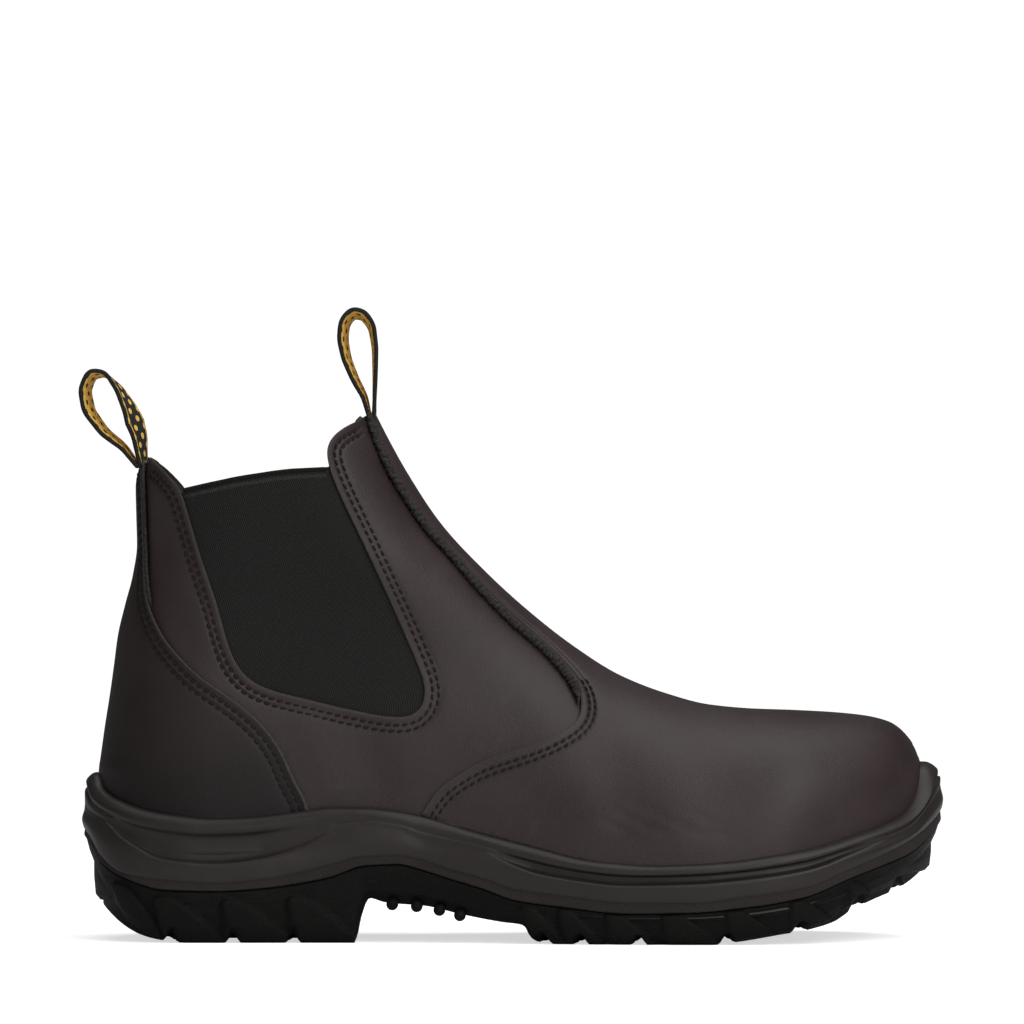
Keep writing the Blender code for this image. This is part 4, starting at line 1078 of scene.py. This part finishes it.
def quarter_place(side):
    def place(u, v):
        inner = at_length(edge_line, u)
        outer = at_length(outer_line, table(PAIRS, 1, u))
        full = np.linalg.norm(outer - inner, axis=1)
        index = v * QUARTER_ROWS
        share = np.clip((index - LAST_STEP) / (QUARTER_ROWS - LAST_STEP), 0.0, 1.0)
        far = mix(EDGE_STEPS[-1], np.maximum(full, NARROWEST), share)
        near = np.interp(index, np.arange(LAST_STEP + 1), EDGE_STEPS)
        run = np.where(index < LAST_STEP, near, far)
        point = inner + (outer - inner) * (run / full)[:, None]
        x = np.clip(point[:, 0], back_x(point[:, 1]) + OUTLINE_CLEAR,
                    front_x(point[:, 1]) - OUTLINE_CLEAR)
        points, normals = side_skin(x, point[:, 1], side, UPPER_OUT)
        return dress(points, normals, "quarter"), normals
    return place


for label, side in (("lateral", -1.0), ("medial", 1.0)):
    quarter = sheet("quarter_" + label, 380, QUARTER_ROWS, quarter_place(side),
                    [quarter_leather, cut_edge])
    wear_edges(quarter, lambda uv: uv[1] < WORN_STEPS / QUARTER_ROWS)
    thicken(quarter, QUARTER_THICK)
    finish_piece(quarter, ["upper"])
    print(quarter.name, "faces", len(quarter.data.polygons))

# %% [markdown]
# ## Elastic
# The gore is a ribbed elastic panel sewn in behind the quarter. It is stretched between four
# lines: the window's rear, front and bottom edge and its own top. Its ribs are real ridges,
# because they catch the light, and a rolled hem with overlock stitches closes its top.

# %% Gores
GORE_TOP = np.array(((-26.9, 158.9), (-7.1, 163.0), (13.5, 166.2), (27.4, 167.4))) * MM
GORE_DEPTH = UPPER_OUT - 1.25 * MM
GORE_THICK = 1.3 * MM
GORE_HEM = 0.5 * MM
RIBS = 84
RIB_HEIGHT = 0.10 * MM


def nearest_on_edge(x, z):
    return int(np.argmin(np.hypot(*(edge_line - np.array((x, z))).T)))


rear_top, fore_top = nearest_on_edge(*GORE_TOP[0]), nearest_on_edge(*GORE_TOP[-1])
bottom_rear = nearest_on_edge(0.7 * MM, 91.1 * MM)
bottom_fore = nearest_on_edge(59.4 * MM, 82.9 * MM)


def gore_place(side):
    """The panel between its four sides, which lie 3 mm behind the quarter's edge."""
    hidden = shift_line(edge_line, 3.0 * MM)
    rear = hidden[rear_top:bottom_rear + 1][::-1]
    fore = hidden[bottom_fore:fore_top + 1]
    base = hidden[bottom_rear:bottom_fore + 1]

    def place(u, v):
        a, b = at_length(rear, v), at_length(fore, v)
        low, high = at_length(base, u), at_length(GORE_TOP, u)
        straight = a * (1 - u)[:, None] + b * u[:, None]
        cross = low * (1 - v)[:, None] + high * v[:, None]
        corners = ((base[0] * ((1 - u) * (1 - v))[:, None]) + (base[-1] * (u * (1 - v))[:, None])
                   + (GORE_TOP[0] * ((1 - u) * v)[:, None]) + (GORE_TOP[-1] * (u * v)[:, None]))
        flat = straight + cross - corners
        ribs = RIB_HEIGHT * np.cos(2.0 * np.pi * RIBS * u)
        return side_skin(flat[:, 0], flat[:, 1], side, GORE_DEPTH + ribs)
    return place


for label, side in (("lateral", -1.0), ("medial", 1.0)):
    gore = sheet("elastic_" + label, RIBS * 4, 40, gore_place(side), [elastic])
    thicken(gore, GORE_THICK, 0)
    finish_piece(gore, ["gore_" + label])
    print(gore.name, "faces", len(gore.data.polygons))
    line = resample(GORE_TOP, 160)
    points, normals = side_skin(line[:, 0], line[:, 1], side, GORE_DEPTH - GORE_HEM)
    hem = tube("elastic_hem_" + label, points, normals, even_cord(0.95 * MM), [elastic], 12, 159)
    finish_piece(hem)

# %% [markdown]
# ## Beads and stitches
# A rough braided cord runs beside the front strip and a thin one beside the back strip. Each is
# a tube whose radius follows two crossing strands, which is lighter than twisting real yarns. The
# thread is thick and dark brown, painted darker than the hide as painted shade along the stitches,
# and each stitch is a small flattened ball pulled into its own dip.


# %% Braided beads
def bead_line(name, lowest, side, offset, lift):
    t, angle = seam_line(name, side, 0.0, 800)
    keep = np.flatnonzero(side_point(t, angle)[1] < lowest)[-1]
    points, normals = skin(t[keep:], angle[keep:])
    tangent = units(np.gradient(points, axis=0))
    away = units(np.cross(normals, tangent)) * side * (1.0 if name == "vamp" else -1.0)
    return points + away * offset + normals * lift, normals


def braid(radius, turns, twist, taper=0.07):
    """A worn braid: two strands that cross, a ragged surface, and a lower end that thins out."""
    def outline(v, turn):
        strand = np.abs(np.sin(v * turns * np.pi + turn) * np.sin(v * turns * np.pi - turn))
        ragged = 0.10 * np.sin(v * turns * 2.3 + 3.0 * turn) + 0.08 * np.sin(v * turns * 5.1 + turn)
        return radius * (1.0 + twist * (strand - 0.5) + ragged) * mix(0.15, 1.0, ease(0.0, taper, v))
    return outline


for label, side in (("lateral", -1.0), ("medial", 1.0)):
    path, normals = bead_line("vamp", 84.0 * MM, side, -0.9 * MM, -0.35 * MM)
    cord = tube("front_bead_cord_" + label, path, normals,
                braid(1.45 * MM, length_of(path) / (2.0 * MM), 0.45), [bead_cord], 16, 900)
    finish_piece(cord, ["front_bead_" + label])
    path, normals = bead_line("counter", 118.0 * MM, side, -0.7 * MM, -0.75 * MM)
    cord = tube("rear_bead_cord_" + label, path, normals,
                braid(0.65 * MM, length_of(path) / (1.8 * MM), 0.3), [bead_cord], 12, 500)
    finish_piece(cord)
print("beads on both sides")


# %% Stitches
STITCH_SLANT = 0.14
STITCH_SINK = 0.18 * MM


def stitch_places(rows, half_length, half_width, half_height):
    """A matrix for each stitch, which lays a unit ball along its row."""
    places = []
    for points, normals, pitch in rows:
        run = run_of(points)
        tangents = units(np.gradient(points, axis=0))
        for spot in np.arange(pitch / 2.0, run[-1] - pitch / 2.0, pitch):
            here, along, out = (Vector([np.interp(spot, run, rows_of[:, k]) for k in range(3)])
                                for rows_of in (points, tangents, normals))
            out.normalize()
            along = (along + out.cross(along) * STITCH_SLANT).normalized()
            over = out.cross(along).normalized()
            here -= out * STITCH_SINK
            turned = Matrix((over * half_width, out * half_height, along * half_length))
            places.append(Matrix.Translation(here) @ turned.transposed().to_4x4())
    return places


def sew(name, rows, yarn, half_length=1.15 * MM, half_width=0.42 * MM, half_height=0.30 * MM):
    """One small ball is doubled until there are enough, and each copy is laid as a stitch."""
    places = stitch_places(rows, half_length, half_width, half_height)
    work = bmesh.new()
    bmesh.ops.create_uvsphere(work, u_segments=8, v_segments=6, radius=1.0)
    balls = [work.verts[:]]
    corners = [v.co.copy() for v in work.verts]
    while len(balls) < len(places):
        copied = bmesh.ops.duplicate(work, geom=work.verts[:] + work.edges[:] + work.faces[:])
        balls += [[copied["vert_map"][v] for v in ball] for ball in balls]
    for ball, lay in zip(balls, places):
        for vert, corner in zip(ball, corners):
            vert.co = lay @ corner
    spare = [v for ball in balls[len(places):] for v in ball]
    bmesh.ops.delete(work, geom=spare, context="VERTS")
    work.normal_update()
    if work.calc_volume(signed=True) < 0.0:
        bmesh.ops.reverse_faces(work, faces=work.faces)
    print(name, len(places), "stitches")
    return into_object(work, name, [yarn])


finish_piece(sew("stitches", rows_of_stitches, thread))
overlock = []
for side in (-1.0, 1.0):
    line = resample(GORE_TOP, 90)
    for k in range(2, 88):
        x = np.array((line[k, 0], line[k, 0] + 0.15 * MM, line[k, 0] + 0.3 * MM))
        z = line[k, 1] + np.array((-1.3, -2.2, -3.1)) * MM
        overlock.append((*side_skin(x, z, side, GORE_DEPTH + 0.12 * MM), 1.75 * MM))
finish_piece(sew("overlock", overlock, overlock_thread, 0.85 * MM, 0.20 * MM, 0.20 * MM))

# %% [markdown]
# ## Inside
# The collar is open, so the lining and the footbed are seen from above. The lining follows the
# last at the depth of the wall's inner face, up to just under the free edge.

# %% Lining and footbed
COLLAR_LINE = ((-43.0, 171.6), (-39.9, 170.6), (-33.8, 166.6), (-26.7, 158.2), (-7.1, 162.0),
               (13.5, 165.2), (26.8, 166.6), (28.2, 174.0), (31.5, 179.6), (36.0, 182.6), (42.5, 186.4))


def collar_level(angle):
    """The level t at which the boot's free top edge crosses each angle."""
    t = np.linspace(0.6, 1.0, 161)
    x, z = side_point(t[:, None], angle[None, :])
    rows = np.array(COLLAR_LINE) * MM
    over = z + 1.6 * MM - np.interp(x, rows[:, 0], rows[:, 1])
    first = np.argmax(over > 0.0, axis=0)
    first = np.where((over > 0.0).any(axis=0), first, len(t) - 1)
    return t[first]


def lining_place(u, v):
    angle = 2.0 * np.pi * u
    columns, spot = np.unique(np.round(angle, 7), return_inverse=True)
    top = smooth_rows(collar_level(columns), 3)[spot] - 0.006
    points, normals = skin(mix(-0.92, top, v), angle, UPPER_IN + 0.4 * MM)
    return points, -normals


lining = sheet("lining", 160, 60, lining_place, [lining_cloth], closed=True)
thicken(lining, 0.9 * MM, 0)
lining.modifiers["thickness"].offset = 1.0
finish_piece(lining)
print("lining faces", len(lining.data.polygons))


def footbed_place(u, v):
    angle = np.pi * u
    reach = UPPER_IN - 1.6 * MM
    a = skin(np.full_like(angle, -0.9), angle, reach)[0]
    b = skin(np.full_like(angle, -0.9), -angle, reach)[0]
    points = a * (1 - v)[:, None] + b * v[:, None]
    rim = np.abs(v - 0.5) * 2.0
    points[:, 2] = sole_line(CUP_FLOOR, points[:, 0]) + (4.0 + 1.6 * rim ** 4) * MM
    return points, np.tile((0.0, 0.0, 1.0), (len(points), 1))


footbed = sheet("footbed", 120, 24, footbed_place, [footbed_cloth])
thicken(footbed, 3.0 * MM, 0)
finish_piece(footbed, ["insole"])
print("footbed faces", len(footbed.data.polygons))

# %% [markdown]
# ## Sole
# The midsole is moulded foam with a rolled lip, a crescent recess at the heel and another
# along the forefoot, and a rough band over the parting line. The rubber below it carries
# slanted lugs. Sculpting them would hide their sizes, so both are rings of one grid, each ring
# an outline at a named height and inset, closed along the middle of the boot.


# %% Rings of the sole
def plan_point(rows, along, lateral):
    half = HALF_BALL * np.where(lateral, table(rows, 3, along), table(rows, 2, along))
    half = half * rounded(along * LENGTH, HEEL_REACH, HEEL_SQUARE)
    half = half * rounded((1.0 - along) * LENGTH, TOE_REACH, TOE_SQUARE)
    return to_x(along), HALF_BALL * table(rows, 1, along) + np.where(lateral, -1.0, 1.0) * half


def sole_outline(angle, inset):
    def at(a):
        return np.stack(plan_point(SOLE_PLAN, (1.0 + np.cos(a)) / 2.0, np.sin(a) >= 0.0), axis=-1)

    run = at(angle + 0.03) - at(angle - 0.03)
    run = run / np.linalg.norm(run, axis=-1, keepdims=True)
    here = at(angle)
    return here[:, 0] + inset * run[:, 1], here[:, 1] - inset * run[:, 0]


def through(rings, w):
    """A smooth curve through the rings, w from 0 to 1, one column per vertex."""
    rings = np.asarray(rings)
    last_ring = len(rings) - 1
    at = np.clip(w * last_ring, 0.0, last_ring - 1e-9)
    i = at.astype(int)
    q = (at - i)[:, None]
    column = np.arange(len(w))
    p0 = rings[np.maximum(i - 1, 0), column]
    p1 = rings[i, column]
    p2 = rings[i + 1, column]
    p3 = rings[np.minimum(i + 2, last_ring), column]
    return 0.5 * (2 * p1 + (p2 - p0) * q + (2 * p0 - 5 * p1 + 4 * p2 - p3) * q ** 2
                  + (3 * p1 - p0 - 3 * p2 + p3) * q ** 3)


HEEL_CRESCENT = ((0.026, 0.0), (0.048, 0.7), (0.085, 1.0), (0.210, 1.0), (0.287, 0.0))
FORE_CRESCENT = ((0.470, 0.0), (0.520, 1.0), (0.860, 1.0), (0.935, 0.0))
PLUG = 4.2 * MM


def centre_point(angle):
    """A point of the middle line, kept clear of the heel's and the toe's rounding."""
    along = (1.0 + np.cos(angle)) / 2.0
    x = to_x(along) + (1.0 - 2.0 * along) * 9.5 * MM
    return x, HALF_BALL * table(SOLE_PLAN, 1, to_along(x))


def ring_maker(angle):
    share = (1.0 - np.cos(angle)) / 2.0
    lip = lip_z(share)
    inner = skin(np.full_like(angle, -0.03), angle, CUP_WALL)[0]
    rim_x, rim_y = sole_outline(angle, 0.0)

    def lip_ring(out, drop):
        return np.stack((mix(inner[:, 0], rim_x, out), mix(inner[:, 1], rim_y, out),
                         inner[:, 2] - drop), axis=1)

    def side_ring(inset, z):
        x, y = sole_outline(angle, inset)
        return np.stack((x, y, z(x) if callable(z) else z), axis=1)

    def middle(z):
        x, y = centre_point(angle)
        return np.stack((x, y, z(x)), axis=1)

    return lip, rim_x, lip_ring, side_ring, middle


print("plug under the cup", PLUG / MM, "mm inside the outline")


def midsole_place(u, v):
    angle = 2.0 * np.pi * u
    lip, x, lip_ring, side_ring, middle = ring_maker(angle)
    along = to_along(x)
    crescent = np.maximum(*(np.interp(along, *np.array(rows).T) for rows in (HEEL_CRESCENT, FORE_CRESCENT)))
    crease, band, parting = (sole_line(c, x) for c in (CREASE, BAND, PARTING))
    roll = np.minimum(5.4 * MM, 0.62 * (lip - crease))
    rest = lip - roll - crease
    sunk = mix(0.65, 2.9, crescent) * MM
    rings = [
        middle(lambda at: sole_line(CUP_FLOOR, at) - 0.5 * MM),
        side_ring(5.2 * MM, sole_line(CUP_FLOOR, x) - 0.5 * MM),
        skin(np.full_like(angle, -0.35), angle, CUP_WALL)[0],
        lip_ring(0.0, 0.30 * MM),
        lip_ring(0.20, -0.15 * MM),
        lip_ring(0.45, 0.05 * MM),
        lip_ring(0.68, 0.22 * roll),
        lip_ring(0.84, 0.52 * roll),
        lip_ring(0.80, 0.90 * roll),
        side_ring(sunk, lip - roll - 0.22 * rest),
        side_ring(sunk * 1.05, lip - roll - 0.76 * rest),
        side_ring(mix(sunk, 0.3 * MM, 0.20), crease + 0.08 * rest + (0.45 - 1.2 * crescent) * MM),
        side_ring(mix(0.45, -0.35, crescent) * MM, crease - (0.15 + 1.4 * crescent) * MM),
        side_ring(-0.35 * MM, mix(crease, band, 0.5)),
        side_ring(0.10 * MM, band + 0.5 * MM),
        side_ring(0.70 * MM, band - 0.3 * MM),
        side_ring(0.55 * MM, mix(band, parting, 0.5)),
        side_ring(0.75 * MM, parting + GAP),
        side_ring(PLUG, parting + GAP),
        side_ring(PLUG + 0.6 * MM, sole_line(RUBBER_TOP, x) + GAP),
        middle(lambda at: sole_line(RUBBER_TOP, at) + GAP),
    ]
    return through(rings, v), None


def midsole_masks(u, v):
    """1 on the pebbled band, which lies on the rings 15 to 17 of the 20."""
    ring = v * 20.0
    return {"rough_band": ease(14.2, 15.0, ring) * (1.0 - ease(17.0, 17.6, ring))}


midsole = sheet("midsole_shell", 640, 100, midsole_place, [foam], closed=True, masks=midsole_masks)
finish_piece(midsole, ["midsole"])
print("midsole faces", len(midsole.data.polygons))

# %% [markdown]
# Each side lug is a leaf: its upper edge starts high at the heel side, arches over and sweeps
# down towards the toe, and a notch separates it from the next one at the floor. The leaves and
# notches are fields over the side view that push the rubber's rings out or up.

# %% Outsole
# start x, start z, end x, end z in mm
LUGS = (
    (-51.6, 19.2, -33.0, 1.5), (-35.9, 14.6, -10.0, 1.0), (-11.7, 13.5, 14.5, 1.0),
    (11.4, 14.6, 37.0, 1.0), (93.2, 11.7, 109.5, 0.5), (106.4, 10.7, 122.5, 0.5),
    (123.1, 9.6, 141.0, 0.5), (142.7, 9.3, 165.0, 0.5), (165.1, 10.7, 187.0, 1.8),
    (187.9, 13.5, 207.0, 8.4), (209.0, 19.5, 223.5, 14.8),
)
NOTCHES = (
    (-33.4, 1.3, -8.0), (-8.8, 1.3, -3.0), (15.8, 1.3, 3.0), (109.8, 1.4, 10.0), (121.6, 1.3, 8.0),
    (139.8, 1.3, 5.0), (163.8, 1.4, -3.0), (186.6, 1.6, -7.0), (206.8, 1.7, -10.0), (222.8, 1.6, -12.0),
)


def tread_z(x):
    along = to_along(x)
    arch = np.where((along > 0.318) & (along < 0.532), table(WAIST_CUT, 1, along), 0.0)
    return COLLAR_HEIGHT * np.maximum(table(TREAD_LINE, 1, along), arch)


def lug_field(x, z):
    """1 on a lug's face, 0 in the valleys between them."""
    x, z = x / MM, z / MM
    field = np.zeros_like(x)
    for x0, z0, x1, z1 in LUGS:
        q = np.clip((x - x0) / (x1 - x0), 0.0, 1.0)
        top = mix(z0, z1, q ** 1.7) + 3.2 * np.sin(np.pi * q ** 0.55) * (1.0 - 0.45 * q)
        inside = ease(-0.1, 0.7, top - z) * ease(x0 - 0.4, x0 + 1.6 + 0.35 * np.maximum(z0 - z, 0.0), x)
        inside = inside * (1.0 - ease(x1 - 0.8, x1 + 0.4, x))
        field = np.maximum(field, inside)
    return field


def notch_field(x, y):
    field = np.zeros_like(x)
    for at, half, slant in NOTCHES:
        gap = np.abs(x / MM + y / MM * math.tan(math.radians(slant)) * np.sign(y) - at)
        field = np.maximum(field, 1.0 - np.clip(gap / (2.0 * half), 0.0, 1.0))
    return field


SIDE_INSETS = ((0.0, 0.45), (0.05, 0.15), (0.12, 0.35), (0.40, 1.2), (0.70, 2.6), (0.90, 4.6), (1.0, 7.0))
RUBBER_ROWS = 64
LID_ROWS = 8.0
WALL_END = 48.0
TREAD_INSET = 7.0 * MM
LUG_HEIGHT = 1.8 * MM
NOTCH_DEPTH = 3.6 * MM


def outsole_place(u, v):
    angle = 2.0 * np.pi * u
    _, x0, _, side_ring, middle = ring_maker(angle)
    row = v * RUBBER_ROWS
    parting = sole_line(PARTING, x0)
    under = middle(lambda at: sole_line(RUBBER_TOP, at))
    rim_in = side_ring(PLUG - GAP + 0.6 * MM, sole_line(RUBBER_TOP, x0))
    rim_top = side_ring(PLUG - GAP, parting)
    lid_share = np.clip(row / (LID_ROWS - 2.0), 0.0, 1.0) * 0.5 + 0.25
    lid = through([under, under, rim_in, rim_top, rim_top], lid_share)
    down = np.clip((row - LID_ROWS) / (WALL_END - LID_ROWS), 0.0, 1.0)
    inset = np.interp(down, *np.array(SIDE_INSETS).T) * MM
    tread = tread_z(x0)
    z = mix(parting, tread, down)
    lug = lug_field(x0, z) * ease(0.0, 0.10, down)
    x, y = sole_outline(angle, inset - LUG_HEIGHT * (lug - 0.6) * (1.0 - 0.5 * ease(0.9, 1.0, down)))
    wall = np.stack((x, y, z), axis=1)
    notch = notch_field(x, y)
    wall[:, 2] += NOTCH_DEPTH * notch * ease(0.62, 0.95, down)
    edge_x, edge_y = sole_outline(angle, TREAD_INSET)
    middle_x, middle_y = centre_point(angle)
    q = np.clip((row - WALL_END) / (RUBBER_ROWS - WALL_END), 0.0, 1.0)
    bx, by = mix(edge_x, middle_x, q), mix(edge_y, middle_y, q)
    bottom = np.stack((bx, by, tread_z(bx)), axis=1)
    ring_groove = np.exp(-((q - 0.38) / 0.07) ** 2) * (to_along(bx) > 0.02)
    cut = np.maximum(notch_field(bx, by), 0.8 * ring_groove)
    bottom[:, 2] += NOTCH_DEPTH * cut * (1.0 - ease(0.97, 1.0, q))
    below = np.where((row <= WALL_END)[:, None], wall, bottom)
    points = np.where((row < LID_ROWS - 1.0)[:, None], lid, below)
    return points, None


outsole = sheet("outsole_rubber", 900, RUBBER_ROWS, outsole_place, [rubber], closed=True)
finish_piece(outsole, ["outsole"])
print("outsole faces", len(outsole.data.polygons))

# %% Ribs under the arch
for k, x in enumerate((49.0, 57.6, 65.6, 72.8)):
    x = x * MM
    z = float(tread_z(np.array([x]))[0]) - 0.2 * MM
    along = to_along(x)
    lateral = float(plan_point(SOLE_PLAN, np.array([along]), np.array([True]))[1][0]) + 2.2 * MM
    medial = float(plan_point(SOLE_PLAN, np.array([along]), np.array([False]))[1][0]) - 2.2 * MM
    y = np.linspace(lateral, medial, 60)
    path = np.stack((np.full_like(y, x), y, np.full_like(y, z)), axis=1)
    up = np.tile((0.0, 0.0, 1.0), (len(y), 1))
    rib = tube("waist_rib_" + str(k + 1), path, up, even_cord(2.1 * MM), [rubber], 20, 60)
    finish_piece(rib)
    print(rib.name, "at", round(x / MM, 1), "mm")

# %% [markdown]
# ## Pull loops
# Each loop is one strip of webbing, black with gold dashes outside and mostly gold inside. The
# edge towards the camera spreads wider than the far edge, so the inside of the strip shows.

# %% Loops
FRONT_LOOP = ((40.6, 184.6), (38.6, 192.6), (35.2, 198.8), (32.2, 206.0), (30.8, 213.0), (31.4, 219.0),
              (34.4, 222.6), (38.4, 221.8), (41.3, 217.6), (42.4, 210.0), (42.4, 200.0), (42.0, 184.6))
REAR_LOOP = ((-41.8, 167.6), (-47.0, 174.6), (-54.0, 180.0), (-59.6, 187.6), (-61.0, 195.0), (-58.6, 200.8),
             (-53.6, 201.0), (-48.6, 195.2), (-44.6, 187.6), (-41.6, 179.0), (-40.2, 167.6))


def loop_place(path, spreads):
    line = resample(np.array(path) * MM, 240)
    run = units(np.gradient(line, axis=0))
    out = np.stack((-run[:, 1], run[:, 0]), axis=1)
    at = np.linspace(0.0, 1.0, len(line))

    def place(u, v):
        centre = np.column_stack([np.interp(v, at, line[:, k]) for k in range(2)])
        away = np.column_stack([np.interp(v, at, out[:, k]) for k in range(2)])
        flare = np.interp(v, *np.array(spreads).T) * MM * (0.5 - u) * 2.0
        side = centre + away * flare[:, None]
        points = np.stack((side[:, 0], (u - 0.5) * 19.0 * MM, side[:, 1]), axis=1)
        normals = np.stack((away[:, 0], np.zeros_like(u), away[:, 1]), axis=1)
        return points + normals * 0.75 * MM, normals
    return place


FRONT_SPREAD = ((0.0, 0.0), (0.15, 0.7), (0.35, 1.15), (0.5, 1.3), (0.65, 0.7), (0.85, 0.3), (1.0, 0.0))
REAR_SPREAD = ((0.0, 0.0), (0.15, 0.8), (0.35, 1.3), (0.5, 1.1), (0.62, -0.4), (0.8, -2.4), (1.0, -0.6))
for label, path, spreads in (("front", FRONT_LOOP, FRONT_SPREAD), ("rear", REAR_LOOP, REAR_SPREAD)):
    loop = sheet("webbing_loop_" + label, 16, 160, loop_place(path, spreads),
                 [web_outside, web_inside, web_edge])
    thicken(loop, 1.5 * MM, 2, 1)
    finish_piece(loop, ["pull_loop_" + label])
    print(loop.name, "faces", len(loop.data.polygons))

# %% [markdown]
# ## Studio
# The photograph is a product shot on white: large soft lights above and in front of the toe,
# a pale floor, and a long lens level with the ankle.

# %% Floor, light and camera
work = bmesh.new()
bmesh.ops.create_grid(work, x_segments=4, y_segments=4, size=1.2)
floor_paint, floor_tree, floor_shader, floor_place = start_material("floor_paint", 0.9, 0.1)
cloudy = noise_at(floor_tree, floor_place, 3.0, 2.0)
floor_tree.links.new(blend_colours(floor_tree, cloudy, (0.82, 0.82, 0.82), (0.84, 0.84, 0.84)),
                     floor_shader.inputs["Base Color"])
floor_shader.inputs["Emission Color"].default_value = (1.0, 1.0, 1.0, 1.0)
looked_at = floor_tree.nodes.new("ShaderNodeLightPath").outputs["Is Camera Ray"]
floor_tree.links.new(maths(floor_tree, "MULTIPLY", looked_at, 0.62),
                     floor_shader.inputs["Emission Strength"])
floor = into_object(work, "studio_floor", [floor_paint], smooth=False)
floor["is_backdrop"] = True

world = bpy.data.worlds.new("studio")
world.use_nodes = True
bpy.context.scene.world = world
sky = world.node_tree
backdrop = sky.nodes["Background"]
backdrop.inputs["Color"].default_value = (1.0, 1.0, 1.0, 1.0)
seen = sky.nodes.new("ShaderNodeLightPath")
strength = maths(sky, "MULTIPLY_ADD", seen.outputs["Is Camera Ray"], 0.95, 0.10)
sky.links.new(strength, backdrop.inputs["Strength"])


def softbox(name, place, target, size, power):
    data = bpy.data.lights.new(name, "AREA")
    data.shape = "RECTANGLE"
    data.size, data.size_y = size
    data.energy = power
    made = bpy.data.objects.new(name, data)
    made.location = place
    made.rotation_euler = (Vector(target) - Vector(place)).to_track_quat("-Z", "Y").to_euler()
    bpy.context.scene.collection.objects.link(made)
    return made


softbox("key_light", (0.95, -1.1, 1.30), (0.10, 0.0, 0.08), (1.3, 1.3), 22.0)
softbox("top_light", (0.15, 0.15, 1.6), (0.09, 0.0, 0.10), (1.6, 1.2), 16.0)
softbox("fill_light", (-1.1, -1.5, 0.8), (0.0, 0.0, 0.10), (1.0, 1.2), 3.0)
softbox("front_light", (0.75, -2.3, 0.55), (0.10, 0.0, 0.10), (1.0, 0.8), 14.0)

CAMERA_DISTANCE = 3.0
FIELD = 0.3644
camera_data = bpy.data.cameras.new("camera")
camera_data.sensor_width = 36.0
camera_data.lens = 36.0 * CAMERA_DISTANCE / FIELD
camera = bpy.data.objects.new("camera", camera_data)
camera.location = (0.0911, -CAMERA_DISTANCE, 0.1516)
camera.rotation_euler = (math.pi / 2.0, 0.0, 0.0)
bpy.context.scene.collection.objects.link(camera)
bpy.context.scene.camera = camera
bpy.context.scene.view_settings.view_transform = "Standard"
print("camera", round(CAMERA_DISTANCE, 1), "m away, sees", round(FIELD / MM), "mm")

# %% Sizes and finish
low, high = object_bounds()
print("visual", [round(c / MM, 1) for c in (*low, *high)])
